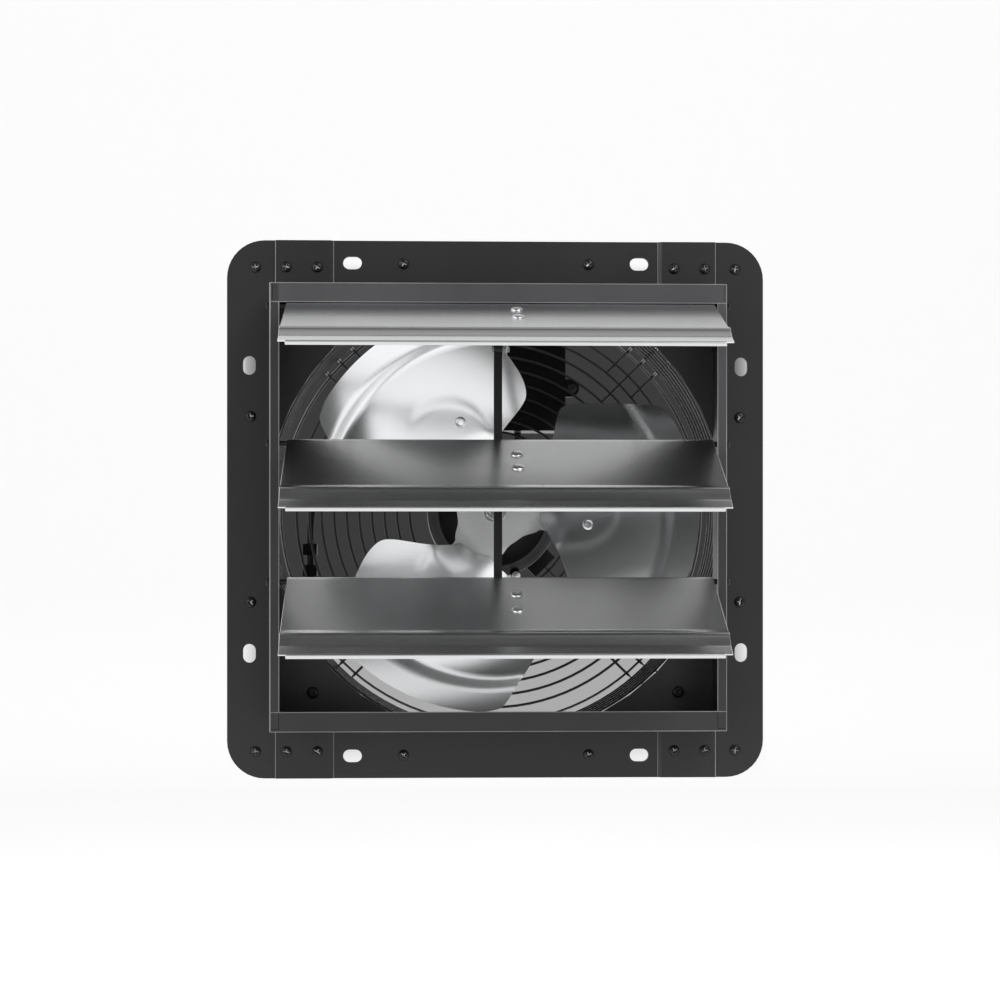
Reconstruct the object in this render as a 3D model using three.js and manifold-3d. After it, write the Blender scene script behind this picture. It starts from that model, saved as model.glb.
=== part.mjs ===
// A shutter exhaust fan: a square wall frame with a shutter box, three linked louvres,
// a three-blade fan on its motor, and the wire basket guard that carries the motor.
// Millimetres, +Z up. The louvres face -Y. The origin is the centre of the frame's rear face,
// the plane that lies on the wall, and the fan turns about the Y axis.

import * as THREE from 'three';
import { mergeVertices } from 'three/addons/utils/BufferGeometryUtils.js';
import Module from 'manifold-3d';

const wasm = await Module();
wasm.setup();

// Sheet metal and fits
const SHEET = 1.5;
const GAP = 0.3;
const OVERRUN = 2;

// Wall frame and shutter box
const FLANGE_SIZE = 400;
const FLANGE_CORNER_R = 28;
const SIDE_BORDER = 36;
const LEVEL_BORDER = 39.25;
const BOX_DEPTH = 58;
const TOP_LIP = 13.5;
const BOTTOM_LIP = 13.9;
const SIDE_RETURN = 6;
const TAB_LENGTH = 40;
const JOGGLE_RUN = 3;
const SLOT_LENGTH = 14;
const SLOT_WIDTH = 9.5;
const SLOT_FROM_CORNER = 93;
const SLOT_INSET = 16.5;
const ORIFICE_BORDER = 29;

// Louvres
const LOUVRE_COUNT = 3;
const LOUVRE_LEFT_CLEARANCE = 10.2;
const LOUVRE_RIGHT_CLEARANCE = 7.4;
const LOUVRE_SHEET = 0.9;
const LOUVRE_LAP = 9.7;
const LOUVRE_OVERHANG = 1.65;
const TOP_PIVOT_BELOW_BOX_TOP = 15.55;
const PIVOT_BEHIND_BOX_FRONT = 6;
const KNUCKLE_R = 3.2;
const KNUCKLE_TURN = THREE.MathUtils.degToRad(290);
const RIB_WIDTH = 9;
const RIB_HEIGHT = 1.6;
const STEP_LENGTH = 7.2;
const STEP_DROP = 2.6;
const MARGIN_LENGTH = 10.8;
const MARGIN_DROP = 0.8;
const HEM_DEPTH = 3;
const HEM_INSET = 5;
const OPEN_ANGLE = THREE.MathUtils.degToRad(63.7);
const TOP_OPEN_ANGLE = THREE.MathUtils.degToRad(70.7);
const CLOSED_ANGLE = THREE.MathUtils.degToRad(5);
const FURTHEST_OPEN_ANGLE = THREE.MathUtils.degToRad(65.2);

// Pivot pins and their bushes
const PIN_R = 2;
const PIN_GRIP = 26;
const PIN_END = 1.5;
const PIN_CAP_R = 2.6;
const BUSH_WALL = 1.1;
const BUSH_COLLAR_R = 4.2;
const BUSH_COLLAR = 1.4;

// Linkage behind the louvres
const CRANK_ALONG = -3;
const CRANK_DEPTH = 32;
const CRANK_PIN_R = 1.5;
const CRANK_HEAD_R = 2.6;
const CRANK_HEAD = 1.3;
const BAR_WIDTH = 6;
const BAR_DEPTH = 6;
const BAR_EYE_R = 4.4;
const BAR_SLOT_WALL = 2.2;
const ARM_SPACER = 2.2;
const BRACKET_FOOT_START = 19;
const BRACKET_FOOT_END = 57.5;
const BRACKET_FOOT_WIDTH = 10;
const RIVET_PLACES = [26.2, 50.2];
const RIVET_R = 2.2;
const RIVET_HEAD_R = 4.5;
const RIVET_HEAD = 1.6;
const RIVET_CROWN_SHARE = 0.55;
const RIVET_SHOULDER_SHARE = 0.8;

// Fan
const BLADE_COUNT = 3;
const BLADE_TIP_CLEARANCE = 17;
const BLADE_SHEET = 1.2;
const BLADE_BEHIND_WALL_PLANE = 28;
const BLADE_SLOPE = 0.27;
const BLADE_CAMBER = 5;
const TIP_BAND = 22;
const CREASE_SLOPE = 0.16;
const FLAT_HUB_R = 28;
const FULL_SLOPE_R = 60;
const FIRST_BLADE_ANGLE = THREE.MathUtils.degToRad(120);
const BLADE_MIDDLE_ANGLE = THREE.MathUtils.degToRad(6);
const SPIDER_SHEET = 2;
const BLADE_SEAT = 1.4;
const SPIDER_WAIST_R = 29;
const SPIDER_ARM_R = 90;
const SPIDER_ARM_ANGLE = THREE.MathUtils.degToRad(5);
const SPIDER_SHOULDER_SHARE = 0.15;
const SHAFT_R = 5;
const BOSS_R = 10;
const BOSS_FLANGE_R = 21;
const BOSS_FLANGE = 3;
const BOSS_LENGTH = 22;
const WASHER_R = 9;
const WASHER = 1.6;
const NUT_R = 7.2;
const NUT_HEIGHT = 6;
const SHAFT_END = 3;

// Motor
const MOTOR_FRONT = 60;
const MOTOR_LENGTH = 42;
const MOTOR_R = 51;
const MOTOR_FACE_R = 43;
const MOTOR_SHOULDER = 8;
const MOTOR_COLLAR_R = 15;
const MOTOR_COLLAR = 4;
const MOTOR_BOLT_R = 4;
const MOTOR_BOLT_CIRCLE_R = 52.5;
const MOTOR_BOLT_COUNT = 2;
const MOTOR_BOLT_ANGLE = THREE.MathUtils.degToRad(-70);
const BEARING_DEPTH = 24;
const CAP_R = 28;
const CAP_LENGTH = 10;
const CAP_SIDE_SHARE = 0.7;
const CAP_END_SHARE = 0.86;
const MOUNT_R = 50;
const MOUNT_REACH = 61;
const MOUNT_EAR_WIDTH = 22;
const MOUNT_SHEET = 2;

// Wire basket guard
const WIRE_R = 1.1;
const WIRE_OVERLAP = 0.6;
const GUARD_CORNER_R = 15;
const SIDE_RING_COUNT = 6;
const SIDE_RING_PITCH = 13.5;
const REAR_RING_COUNT = 10;
const REAR_RING_SMALLEST_R = 65;
const REAR_RING_INSIDE_CORNER = 2.6;
const FLANK_OFFSET = 14;
const FLANK_RUN = 12;
const FOOT_LENGTH = 25.8;
const FOOT_WIDTH = 14;
const FOOT_SHEET = 2;
const SCREW_R = 2.5;
const SCREW_HEAD_R = 4.6;
const SCREW_HEAD = 2.6;
const SCREW_CROWN_SHARE = 0.75;
const SCREW_NUT = 3.2;

// Junction box, leads and clips
const JUNCTION_LEFT = 9.5;
const JUNCTION_WIDTH = 50;
const JUNCTION_HEIGHT = 68;
const JUNCTION_DEPTH = 34;
const JUNCTION_MIDDLE_Z = 100;
const JUNCTION_WALL = 2.5;
const LID_SHEET = 2;
const LUG_LENGTH = 11;
const LUG_HEIGHT = 14;
const LUG_SHEET = 3;
const LUG_HOLE_R = 2.2;
const GLAND_R = 8;
const GLAND_LENGTH = 15;
const GLAND_FLOOR = 12;
const GLAND_DOME_SHARE = 0.7;
const GLAND_NUT_SHARE = 0.6;
const LEAD_R = 3.5;
const MOTOR_LEAD_R = 3;
const ANCHOR_R = 7.5;
const ANCHOR_LENGTH = 16;
const ANCHOR_NUT_SHARE = 0.7;
const CLIP_WALL = 1.8;
const CLIP_LENGTH = 9;
const CLIP_HEIGHTS = [-29, -46];
const LEAD_STRAIGHT_X = -144.3;
const LEAD_STRAIGHT_Y = 111.2;
const LEAD_ROUTE = [
  [9, 124.1, 78], [-8, 124.1, 78], [-20, 124.1, 77], [-44, 121.5, 70], [-74, 115.5, 55], [-106, 111.8, 40],
  [-132, LEAD_STRAIGHT_Y, 22], [-142.5, LEAD_STRAIGHT_Y, 4],
  [LEAD_STRAIGHT_X, LEAD_STRAIGHT_Y, -12], [LEAD_STRAIGHT_X, LEAD_STRAIGHT_Y, -24],
  [LEAD_STRAIGHT_X, LEAD_STRAIGHT_Y, -50], [LEAD_STRAIGHT_X, LEAD_STRAIGHT_Y, -64],
  [-145, 105.5, -89], [-147, 88, -111], [-149, 62, -121], [-150, 38, -124],
  [-150, 20, -124], [-150, 4, -124],
];

// Facets around round pieces
const FINE_STEPS = 40;
const ROUND_STEPS = 16;
const SMALL_STEPS = 10;
const RING_STEPS = 32;
const ARC_STEPS = 3;
const CORNER_STEPS = 5;
const WIRE_SIDES = 4;
const RIB_STEPS = 5;
const BLADE_COLUMNS = 9;
const SPIDER_STEPS = 72;
const HEX_SIDES = 6;
const LEAD_SIDES = 8;
const LEAD_STEPS = 28;
const MOTOR_LEAD_STEPS = 12;
const WELD = 1e-4;

// Places worked out from the sizes above
const plateFront = -SHEET;
const flangeBack = plateFront - GAP;
const flangeFront = flangeBack - SHEET;
const lapBack = flangeFront - GAP;
const lapFront = lapBack - SHEET;
const boxFront = flangeFront - BOX_DEPTH;
const flangeHalf = FLANGE_SIZE / 2;
const boxHalfWidth = flangeHalf - SIDE_BORDER;
const boxHalfHeight = flangeHalf - LEVEL_BORDER;
const wallInside = boxHalfWidth - SHEET;
const wallHalfHeight = boxHalfHeight - SHEET - GAP;
const orificeR = flangeHalf - ORIFICE_BORDER;
const pivotY = boxFront + PIVOT_BEHIND_BOX_FRONT;
const topPivotZ = boxHalfHeight - TOP_PIVOT_BELOW_BOX_TOP;
const lowestLouvreEnd = -boxHalfHeight - LOUVRE_OVERHANG;
const louvrePitch = (topPivotZ - lowestLouvreEnd - LOUVRE_LAP) / LOUVRE_COUNT;
const louvreLeft = -wallInside + LOUVRE_LEFT_CLEARANCE;
const louvreRight = wallInside - LOUVRE_RIGHT_CLEARANCE;
const bushR = PIN_R + GAP + BUSH_WALL;
const bushHoleR = bushR + GAP;

const charcoal = new THREE.MeshStandardMaterial({ color: 0x35363a, roughness: 0.5, metalness: 0.3 });
const blackSheet = new THREE.MeshStandardMaterial({ color: 0x1d1e20, roughness: 0.55, metalness: 0.2 });
const blackWire = new THREE.MeshStandardMaterial({ color: 0x141414, roughness: 0.4, metalness: 0.3 });
const aluminium = new THREE.MeshStandardMaterial({ color: 0xb9bcbf, roughness: 0.28, metalness: 0.9 });
const steel = new THREE.MeshStandardMaterial({ color: 0x9a9da0, roughness: 0.35, metalness: 0.9 });
const nylon = new THREE.MeshStandardMaterial({ color: 0x26272a, roughness: 0.6, metalness: 0 });
const rubber = new THREE.MeshStandardMaterial({ color: 0x161616, roughness: 0.75, metalness: 0 });

// Solids

// Makes a closed solid of a geometry: shared corners merged, no empty triangles, faces pointing out.
function solid(geometry) {
  geometry.deleteAttribute('normal');
  geometry.deleteAttribute('uv');
  const merged = mergeVertices(geometry, WELD);
  const corners = merged.attributes.position;
  const index = merged.index.array;
  const triangles = [];
  const a = new THREE.Vector3();
  const b = new THREE.Vector3();
  const c = new THREE.Vector3();
  let volume = 0;
  for (let i = 0; i < index.length; i += 3) {
    const [first, second, third] = [index[i], index[i + 1], index[i + 2]];
    if (first === second || second === third || third === first) continue;
    triangles.push(first, second, third);
    a.fromBufferAttribute(corners, first);
    b.fromBufferAttribute(corners, second);
    c.fromBufferAttribute(corners, third);
    volume += a.dot(b.cross(c));
  }
  if (volume < 0) triangles.reverse();
  return new wasm.Manifold(new wasm.Mesh({
    numProp: 3,
    vertProperties: new Float32Array(corners.array),
    triVerts: new Uint32Array(triangles),
  }));
}

// Turns a solid back into a geometry with flat faces.
function faceted(body) {
  const mesh = body.getMesh();
  const geometry = new THREE.BufferGeometry();
  geometry.setAttribute('position', new THREE.BufferAttribute(mesh.vertProperties, 3));
  geometry.setIndex(new THREE.BufferAttribute(mesh.triVerts, 1));
  geometry.computeVertexNormals();
  return geometry;
}

function piece(name, body, material, parent) {
  const mesh = new THREE.Mesh(faceted(body), material);
  mesh.name = name;
  parent.add(mesh);
  return mesh;
}

function block([x0, x1], [y0, y1], [z0, z1]) {
  const geometry = new THREE.BoxGeometry(x1 - x0, y1 - y0, z1 - z0);
  geometry.translate((x0 + x1) / 2, (y0 + y1) / 2, (z0 + z1) / 2);
  return solid(geometry);
}

// A profile of [radius, place along the axis] points turned about the Y axis.
function turnedY(profile, steps, x = 0, z = 0) {
  const geometry = new THREE.LatheGeometry(profile.map(([r, y]) => new THREE.Vector2(r, y)), steps);
  geometry.translate(x, 0, z);
  return solid(geometry);
}

// The same about an axis along X, through the given y and z.
function turnedX(profile, steps, y = 0, z = 0) {
  const geometry = new THREE.LatheGeometry(profile.map(([r, x]) => new THREE.Vector2(r, x)), steps);
  geometry.rotateZ(-Math.PI / 2);
  geometry.translate(0, y, z);
  return solid(geometry);
}

function rodY(radius, y0, y1, steps, x = 0, z = 0) {
  return turnedY([[0, y0], [radius, y0], [radius, y1], [0, y1]], steps, x, z);
}

function rodX(radius, x0, x1, steps, y = 0, z = 0) {
  return turnedX([[0, x0], [radius, x0], [radius, x1], [0, x1]], steps, y, z);
}

// A shape drawn in x and z, seen from the front, given a thickness in y.
function slabXZ(shape, y0, y1, curveSteps = CORNER_STEPS) {
  const geometry = new THREE.ExtrudeGeometry(shape, {
    depth: y1 - y0, bevelEnabled: false, curveSegments: curveSteps,
  });
  geometry.rotateX(Math.PI / 2);
  geometry.translate(0, y1, 0);
  return solid(geometry);
}

// A shape drawn in y and z, seen from the side, given a thickness in x.
function slabYZ(shape, x0, x1, curveSteps = ARC_STEPS) {
  const geometry = new THREE.ExtrudeGeometry(shape, {
    depth: x1 - x0, bevelEnabled: false, curveSegments: curveSteps,
  });
  const turn = new THREE.Matrix4().makeBasis(
    new THREE.Vector3(0, 1, 0), new THREE.Vector3(0, 0, 1), new THREE.Vector3(1, 0, 0));
  geometry.applyMatrix4(turn);
  geometry.translate(x0, 0, 0);
  return solid(geometry);
}

function outline(points) {
  return new THREE.Shape(points.map(([x, y]) => new THREE.Vector2(x, y)));
}

// A rectangle with round ends or corners, centred on the given point.
function roundedRectangle(x, y, width, height, radius) {
  const shape = new THREE.Shape();
  const right = x + width / 2;
  const top = y + height / 2;
  const left = x - width / 2;
  const bottom = y - height / 2;
  shape.moveTo(right, bottom + radius);
  shape.lineTo(right, top - radius);
  shape.absarc(right - radius, top - radius, radius, 0, Math.PI / 2);
  shape.lineTo(left + radius, top);
  shape.absarc(left + radius, top - radius, radius, Math.PI / 2, Math.PI);
  shape.lineTo(left, bottom + radius);
  shape.absarc(left + radius, bottom + radius, radius, Math.PI, Math.PI * 1.5);
  shape.lineTo(right - radius, bottom);
  shape.absarc(right - radius, bottom + radius, radius, Math.PI * 1.5, Math.PI * 2);
  return shape;
}

// Places that the wall frame and the guard share
const layerStep = 2 * WIRE_R - WIRE_OVERLAP;
const guardR = orificeR;
const longR = guardR + layerStep;
const frontRingR = longR + layerStep;
const footReach = frontRingR + FOOT_LENGTH;

// Wall frame

// Cutters for the eight slots that take the wall screws.
function slotCutters() {
  const cutters = [];
  const far = flangeHalf - SLOT_INSET;
  const side = flangeHalf - SLOT_FROM_CORNER;
  for (const across of [-1, 1]) {
    for (const along of [-1, 1]) {
      const level = roundedRectangle(across * side, along * far, SLOT_LENGTH, SLOT_WIDTH, SLOT_WIDTH / 2);
      const upright = roundedRectangle(across * far, along * side, SLOT_WIDTH, SLOT_LENGTH, SLOT_WIDTH / 2);
      for (const shape of [level, upright]) {
        cutters.push(slabXZ(shape, lapFront - OVERRUN, OVERRUN, ARC_STEPS));
      }
    }
  }
  return cutters;
}

function cutAll(body, cutters) {
  return cutters.reduce((left, cutter) => left.subtract(cutter), body);
}

const slots = slotCutters();

function pivotHeights() {
  return Array.from({ length: LOUVRE_COUNT }, (_, i) => topPivotZ - i * louvrePitch);
}

// Side member: flange with rounded corners and two tabs, side wall, and its turned-in front edge.
function sideMember(side) {
  const tabInside = boxHalfWidth - TAB_LENGTH;
  const tabBottom = boxHalfHeight + GAP;
  const notch = boxHalfWidth + GAP;
  const round = flangeHalf - FLANGE_CORNER_R;
  const shape = new THREE.Shape();
  shape.moveTo(wallInside, -wallHalfHeight);
  shape.lineTo(notch, -wallHalfHeight);
  shape.lineTo(notch, -tabBottom);
  shape.lineTo(tabInside, -tabBottom);
  shape.lineTo(tabInside, -flangeHalf);
  shape.lineTo(round, -flangeHalf);
  shape.absarc(round, -round, FLANGE_CORNER_R, -Math.PI / 2, 0);
  shape.lineTo(flangeHalf, round);
  shape.absarc(round, round, FLANGE_CORNER_R, 0, Math.PI / 2);
  shape.lineTo(tabInside, flangeHalf);
  shape.lineTo(tabInside, tabBottom);
  shape.lineTo(notch, tabBottom);
  shape.lineTo(notch, wallHalfHeight);
  shape.lineTo(wallInside, wallHalfHeight);
  let body = slabXZ(shape, flangeFront, flangeBack);
  body = body.add(block(
    [wallInside, boxHalfWidth], [boxFront, flangeBack], [-wallHalfHeight, wallHalfHeight]));
  const returnTop = boxHalfHeight - TOP_LIP - GAP;
  body = body.add(block(
    [boxHalfWidth - SIDE_RETURN, boxHalfWidth], [boxFront, boxFront + SHEET], [-wallHalfHeight, returnTop]));
  for (const z of pivotHeights()) {
    body = body.subtract(rodX(
      bushHoleR, wallInside - OVERRUN, boxHalfWidth + OVERRUN, SMALL_STEPS, pivotY, z));
  }
  body = cutAll(body, slots);
  return side > 0 ? body : body.mirror([1, 0, 0]);
}

// Top or bottom member: flange strip with joggled ends, wall of the box, and its front lip.
function levelMember(end) {
  const lapStart = boxHalfWidth - TAB_LENGTH - GAP;
  const bend = lapStart - JOGGLE_RUN;
  const half = [
    [boxHalfWidth, lapFront], [boxHalfWidth, lapBack], [lapStart, lapBack], [bend, flangeBack],
  ];
  const inner = [[bend, flangeFront], [lapStart, lapFront]];
  const mirrored = (points) => points.map(([x, y]) => [-x, y]).reverse();
  const profile = [...half, ...mirrored(half), ...mirrored(inner), ...inner];
  const geometry = new THREE.ExtrudeGeometry(outline(profile), {
    depth: flangeHalf - boxHalfHeight + SHEET, bevelEnabled: false,
  });
  geometry.translate(0, 0, boxHalfHeight - SHEET);
  let body = solid(geometry);
  body = body.add(block(
    [-boxHalfWidth, boxHalfWidth], [boxFront, flangeBack], [boxHalfHeight - SHEET, boxHalfHeight]));
  const lip = end > 0 ? TOP_LIP : BOTTOM_LIP;
  const lipHalf = end > 0 ? wallInside - GAP : boxHalfWidth - SIDE_RETURN - GAP;
  body = body.add(block(
    [-lipHalf, lipHalf], [boxFront, boxFront + SHEET], [boxHalfHeight - lip, boxHalfHeight]));
  if (end < 0) body = body.mirror([0, 0, 1]);
  return cutAll(body, slots);
}

// Plate behind the frame, with the round hole that the blades run in.
function orificePlate() {
  const shape = roundedRectangle(0, 0, FLANGE_SIZE, FLANGE_SIZE, FLANGE_CORNER_R);
  let body = slabXZ(shape, plateFront, 0);
  body = body.subtract(rodY(orificeR, plateFront - OVERRUN, OVERRUN, FINE_STEPS));
  for (const [x, z] of footScrewPlaces()) {
    body = body.subtract(rodY(SCREW_R + GAP, plateFront - OVERRUN, OVERRUN, SMALL_STEPS, x, z));
  }
  return cutAll(body, slots);
}

function footScrewPlaces() {
  const offset = (footReach - FOOT_WIDTH / 2) * Math.SQRT1_2;
  const places = [];
  for (const x of [-offset, offset]) {
    for (const z of [-offset, offset]) places.push([x, z]);
  }
  return places;
}

// Bolt and nut that hold a guard foot to the orifice plate.
function guardScrew([x, z]) {
  const underHead = plateFront - GAP;
  const nutFront = GAP + FOOT_SHEET + GAP;
  const crown = SCREW_HEAD_R * SCREW_CROWN_SHARE;
  return turnedY([
    [0, underHead - SCREW_HEAD], [crown, underHead - SCREW_HEAD], [SCREW_HEAD_R, underHead - SCREW_HEAD / 2],
    [SCREW_HEAD_R, underHead], [SCREW_R, underHead], [SCREW_R, nutFront], [SCREW_HEAD_R, nutFront],
    [SCREW_HEAD_R, nutFront + SCREW_NUT], [0, nutFront + SCREW_NUT],
  ], SMALL_STEPS, x, z);
}

// Flanged bush in the side wall, with a collar on each side of the sheet.
function bush(side, z) {
  const bore = PIN_R + GAP;
  const inside = wallInside - GAP;
  const outside = boxHalfWidth + GAP;
  const profile = [
    [bore, inside - BUSH_COLLAR], [BUSH_COLLAR_R, inside - BUSH_COLLAR], [BUSH_COLLAR_R, inside],
    [bushR, inside], [bushR, outside], [bushR + GAP + GAP, outside], [bushR, outside + BUSH_WALL],
    [bore, outside + BUSH_WALL], [bore, inside - BUSH_COLLAR],
  ];
  const body = turnedX(profile, SMALL_STEPS, pivotY, z);
  return side > 0 ? body : body.mirror([1, 0, 0]);
}

// Louvres, drawn shut: c runs down the louvre from the pivot and n forward of it.

const faceN = KNUCKLE_R;
const louvreEnd = louvrePitch + LOUVRE_LAP;
const marginStart = louvreEnd - MARGIN_LENGTH;
const ribStart = marginStart - STEP_LENGTH - RIB_WIDTH;
const stepN = faceN - STEP_DROP;
const marginN = stepN - MARGIN_DROP;

// The front line of the louvre as [c, n] points, from the free end of the knuckle to the lower edge.
function louvreLine() {
  const line = [];
  for (let i = 0; i <= SMALL_STEPS; i += 1) {
    const angle = Math.PI / 2 + KNUCKLE_TURN * (1 - i / SMALL_STEPS);
    line.push([KNUCKLE_R * Math.cos(angle), KNUCKLE_R * Math.sin(angle)]);
  }
  for (let i = 0; i <= RIB_STEPS; i += 1) {
    const share = i / RIB_STEPS;
    line.push([ribStart + RIB_WIDTH * share, faceN + RIB_HEIGHT * Math.sin(Math.PI * share)]);
  }
  line.push([marginStart, stepN], [louvreEnd, marginN]);
  return line;
}

// Gives a line its thickness, on the side away from its front.
function thickened(line, thickness) {
  const back = line.map((point, i) => {
    const before = line[Math.max(i - 1, 0)];
    const after = line[Math.min(i + 1, line.length - 1)];
    const along = new THREE.Vector2(after[0] - before[0], after[1] - before[1]).normalize();
    return [point[0] + along.y * thickness, point[1] - along.x * thickness];
  });
  return [...line, ...back.reverse()];
}

const shutYZ = (points) => points.map(([c, n]) => [-n, -c]);

function louvrePanel() {
  const profile = shutYZ(thickened(louvreLine(), LOUVRE_SHEET));
  let body = slabYZ(outline(profile), louvreLeft, louvreRight);
  const hemBack = marginN - HEM_DEPTH;
  body = body.add(block(
    [louvreLeft + HEM_INSET, louvreRight - HEM_INSET], [-marginN, -hemBack],
    [-louvreEnd, -louvreEnd + LOUVRE_SHEET]));
  for (const place of RIVET_PLACES) {
    body = body.subtract(rodY(
      RIVET_R + GAP, -KNUCKLE_R - OVERRUN, OVERRUN - GAP, SMALL_STEPS, rivetX, -place));
  }
  return body;
}

// Pin at a louvre's end: gripped by the knuckle, turning in the bush, with a cap outside the wall.
function pivotPin(side) {
  const inner = (side > 0 ? louvreRight : -louvreLeft) - PIN_GRIP;
  const capStart = boxHalfWidth + GAP + BUSH_WALL + GAP;
  const capEnd = capStart + PIN_END;
  const body = turnedX([
    [0, inner], [PIN_R, inner], [PIN_R, capStart], [PIN_CAP_R, capStart],
    [PIN_CAP_R, capEnd - PIN_END / 3], [PIN_R, capEnd], [0, capEnd],
  ], SMALL_STEPS);
  return side > 0 ? body : body.mirror([1, 0, 0]);
}

const barHalf = BAR_WIDTH / 2;
const armInner = barHalf + ARM_SPACER;
const armOuter = armInner + SHEET;
const footOuter = armOuter + BRACKET_FOOT_WIDTH;
const rivetX = (armOuter + footOuter) / 2;
const footFront = KNUCKLE_R - LOUVRE_SHEET - GAP;

// Bracket under the louvre: a foot riveted to the sheet and an arm down to the crank pin.
function crankBracket() {
  const foot = block(
    [armInner, footOuter], [-footFront, -footFront + SHEET], [-BRACKET_FOOT_END, -BRACKET_FOOT_START]);
  const tipR = CRANK_HEAD_R + SHEET;
  const shape = new THREE.Shape();
  const pinY = CRANK_DEPTH;
  const pinZ = -CRANK_ALONG;
  shape.moveTo(-footFront, -BRACKET_FOOT_START);
  shape.lineTo(pinY - tipR, pinZ);
  shape.absarc(pinY, pinZ, tipR, Math.PI, -Math.PI / 3, true);
  shape.lineTo(-footFront, -BRACKET_FOOT_END);
  const arm = slabYZ(shape, armInner, armOuter);
  let body = foot.add(arm);
  body = body.subtract(rodX(
    CRANK_PIN_R + GAP, armInner - OVERRUN, armOuter + OVERRUN, SMALL_STEPS, pinY, pinZ));
  for (const place of RIVET_PLACES) {
    body = body.subtract(rodY(RIVET_R + GAP, -footFront - OVERRUN, OVERRUN, SMALL_STEPS, rivetX, -place));
  }
  return body;
}

// Shouldered pin, held in the bracket's arm, that the tie bar turns on.
function crankPin() {
  const barEnd = barHalf + GAP;
  const armStart = armInner - GAP;
  const armEnd = armOuter + GAP;
  return turnedX([
    [0, -barEnd - CRANK_HEAD], [CRANK_HEAD_R, -barEnd - CRANK_HEAD], [CRANK_HEAD_R, -barEnd],
    [CRANK_PIN_R, -barEnd], [CRANK_PIN_R, barEnd], [CRANK_HEAD_R, barEnd], [CRANK_HEAD_R, armStart],
    [CRANK_PIN_R, armStart], [CRANK_PIN_R, armEnd], [CRANK_HEAD_R, armEnd],
    [CRANK_HEAD_R, armEnd + CRANK_HEAD], [0, armEnd + CRANK_HEAD],
  ], SMALL_STEPS, CRANK_DEPTH, -CRANK_ALONG);
}

// Rivet through the louvre and the bracket's foot.
function rivet(place) {
  const front = -KNUCKLE_R - GAP;
  const back = -footFront + SHEET + GAP;
  const shoulder = [RIVET_HEAD_R * RIVET_CROWN_SHARE, front - RIVET_HEAD * RIVET_SHOULDER_SHARE];
  return turnedY([
    [0, front - RIVET_HEAD], shoulder, [RIVET_HEAD_R, front],
    [RIVET_R, front], [RIVET_R, back], [RIVET_R + SHEET, back],
    [RIVET_R + SHEET, back + RIVET_HEAD / 2], [0, back + RIVET_HEAD / 2],
  ], SMALL_STEPS, rivetX, -place);
}

// Where a louvre's crank pin stands, forward of its pivot and above it, at an angle from shut.
function crankPlace(angle) {
  const along = CRANK_ALONG;
  const deep = -CRANK_DEPTH;
  return {
    forward: along * Math.sin(angle) + deep * Math.cos(angle),
    up: -along * Math.cos(angle) + deep * Math.sin(angle),
  };
}

// How far the top louvre's pin strays from the bar between shut and furthest open.
function topPinPath() {
  const ratio = (TOP_OPEN_ANGLE - CLOSED_ANGLE) / (OPEN_ANGLE - CLOSED_ANGLE);
  const steps = ROUND_STEPS;
  const path = [];
  for (let i = 0; i <= steps; i += 1) {
    const angle = CLOSED_ANGLE + (FURTHEST_OPEN_ANGLE - CLOSED_ANGLE) * (i / steps);
    const top = crankPlace(CLOSED_ANGLE + (angle - CLOSED_ANGLE) * ratio);
    const middle = crankPlace(angle);
    path.push([-(top.forward - middle.forward), top.up - middle.up]);
  }
  return path;
}

// Bar that joins the three crank pins, drawn about the middle one. Its top eye is a slot.
function tieBar() {
  const path = topPinPath();
  const clear = CRANK_PIN_R + GAP;
  const low = [Math.min(...path.map((p) => p[0])) - clear, Math.min(...path.map((p) => p[1])) - clear];
  const high = [Math.max(...path.map((p) => p[0])) + clear, Math.max(...path.map((p) => p[1])) + clear];
  const middle = [(low[0] + high[0]) / 2, louvrePitch + (low[1] + high[1]) / 2];
  const size = [high[0] - low[0], high[1] - low[1]];
  const outerSize = [size[0] + 2 * BAR_SLOT_WALL, size[1] + 2 * BAR_SLOT_WALL];
  const slot = roundedRectangle(middle[0], middle[1], size[0], size[1], CRANK_PIN_R);
  const eye = roundedRectangle(middle[0], middle[1], outerSize[0], outerSize[1], CRANK_PIN_R + BAR_SLOT_WALL);
  const half = BAR_DEPTH / 2;
  let body = block([-barHalf, barHalf], [-half, half], [-louvrePitch, louvrePitch + low[1] - GAP]);
  body = body.add(slabYZ(eye, -barHalf, barHalf));
  for (const z of [0, -louvrePitch]) body = body.add(rodX(BAR_EYE_R, -barHalf, barHalf, SMALL_STEPS, 0, z));
  for (const z of [0, -louvrePitch]) {
    body = body.subtract(rodX(clear, -barHalf - OVERRUN, barHalf + OVERRUN, SMALL_STEPS, 0, z));
  }
  return body.subtract(slabYZ(slot, -barHalf - OVERRUN, barHalf + OVERRUN));
}

// Fan

const bladeTipR = orificeR - BLADE_TIP_CLEARANCE;
const creaseR = bladeTipR - TIP_BAND;

// Outline of a blade: shares of the tip radius, and degrees from the blade's own line.
const trailingEdgeShares = [
  [0.23, -16], [0.33, -29], [0.45, -40], [0.556, -45], [0.63, -43], [0.75, -35], [0.88, -26.5],
  [0.95, -22.5], [0.985, -20], [1, -16],
];
const spiderLobeShares = [-0.8, 0.2, 0.25, 0.6];
const leadingEdgeShares = [
  [0.23, 24], [0.33, 42], [0.45, 50], [0.556, 55.5], [0.63, 56.5], [0.75, 46.5], [0.88, 37.5],
  [0.95, 34], [0.985, 31.5], [1, 27],
];

function smooth(low, high, value) {
  return THREE.MathUtils.smoothstep(value, low, high);
}

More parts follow.
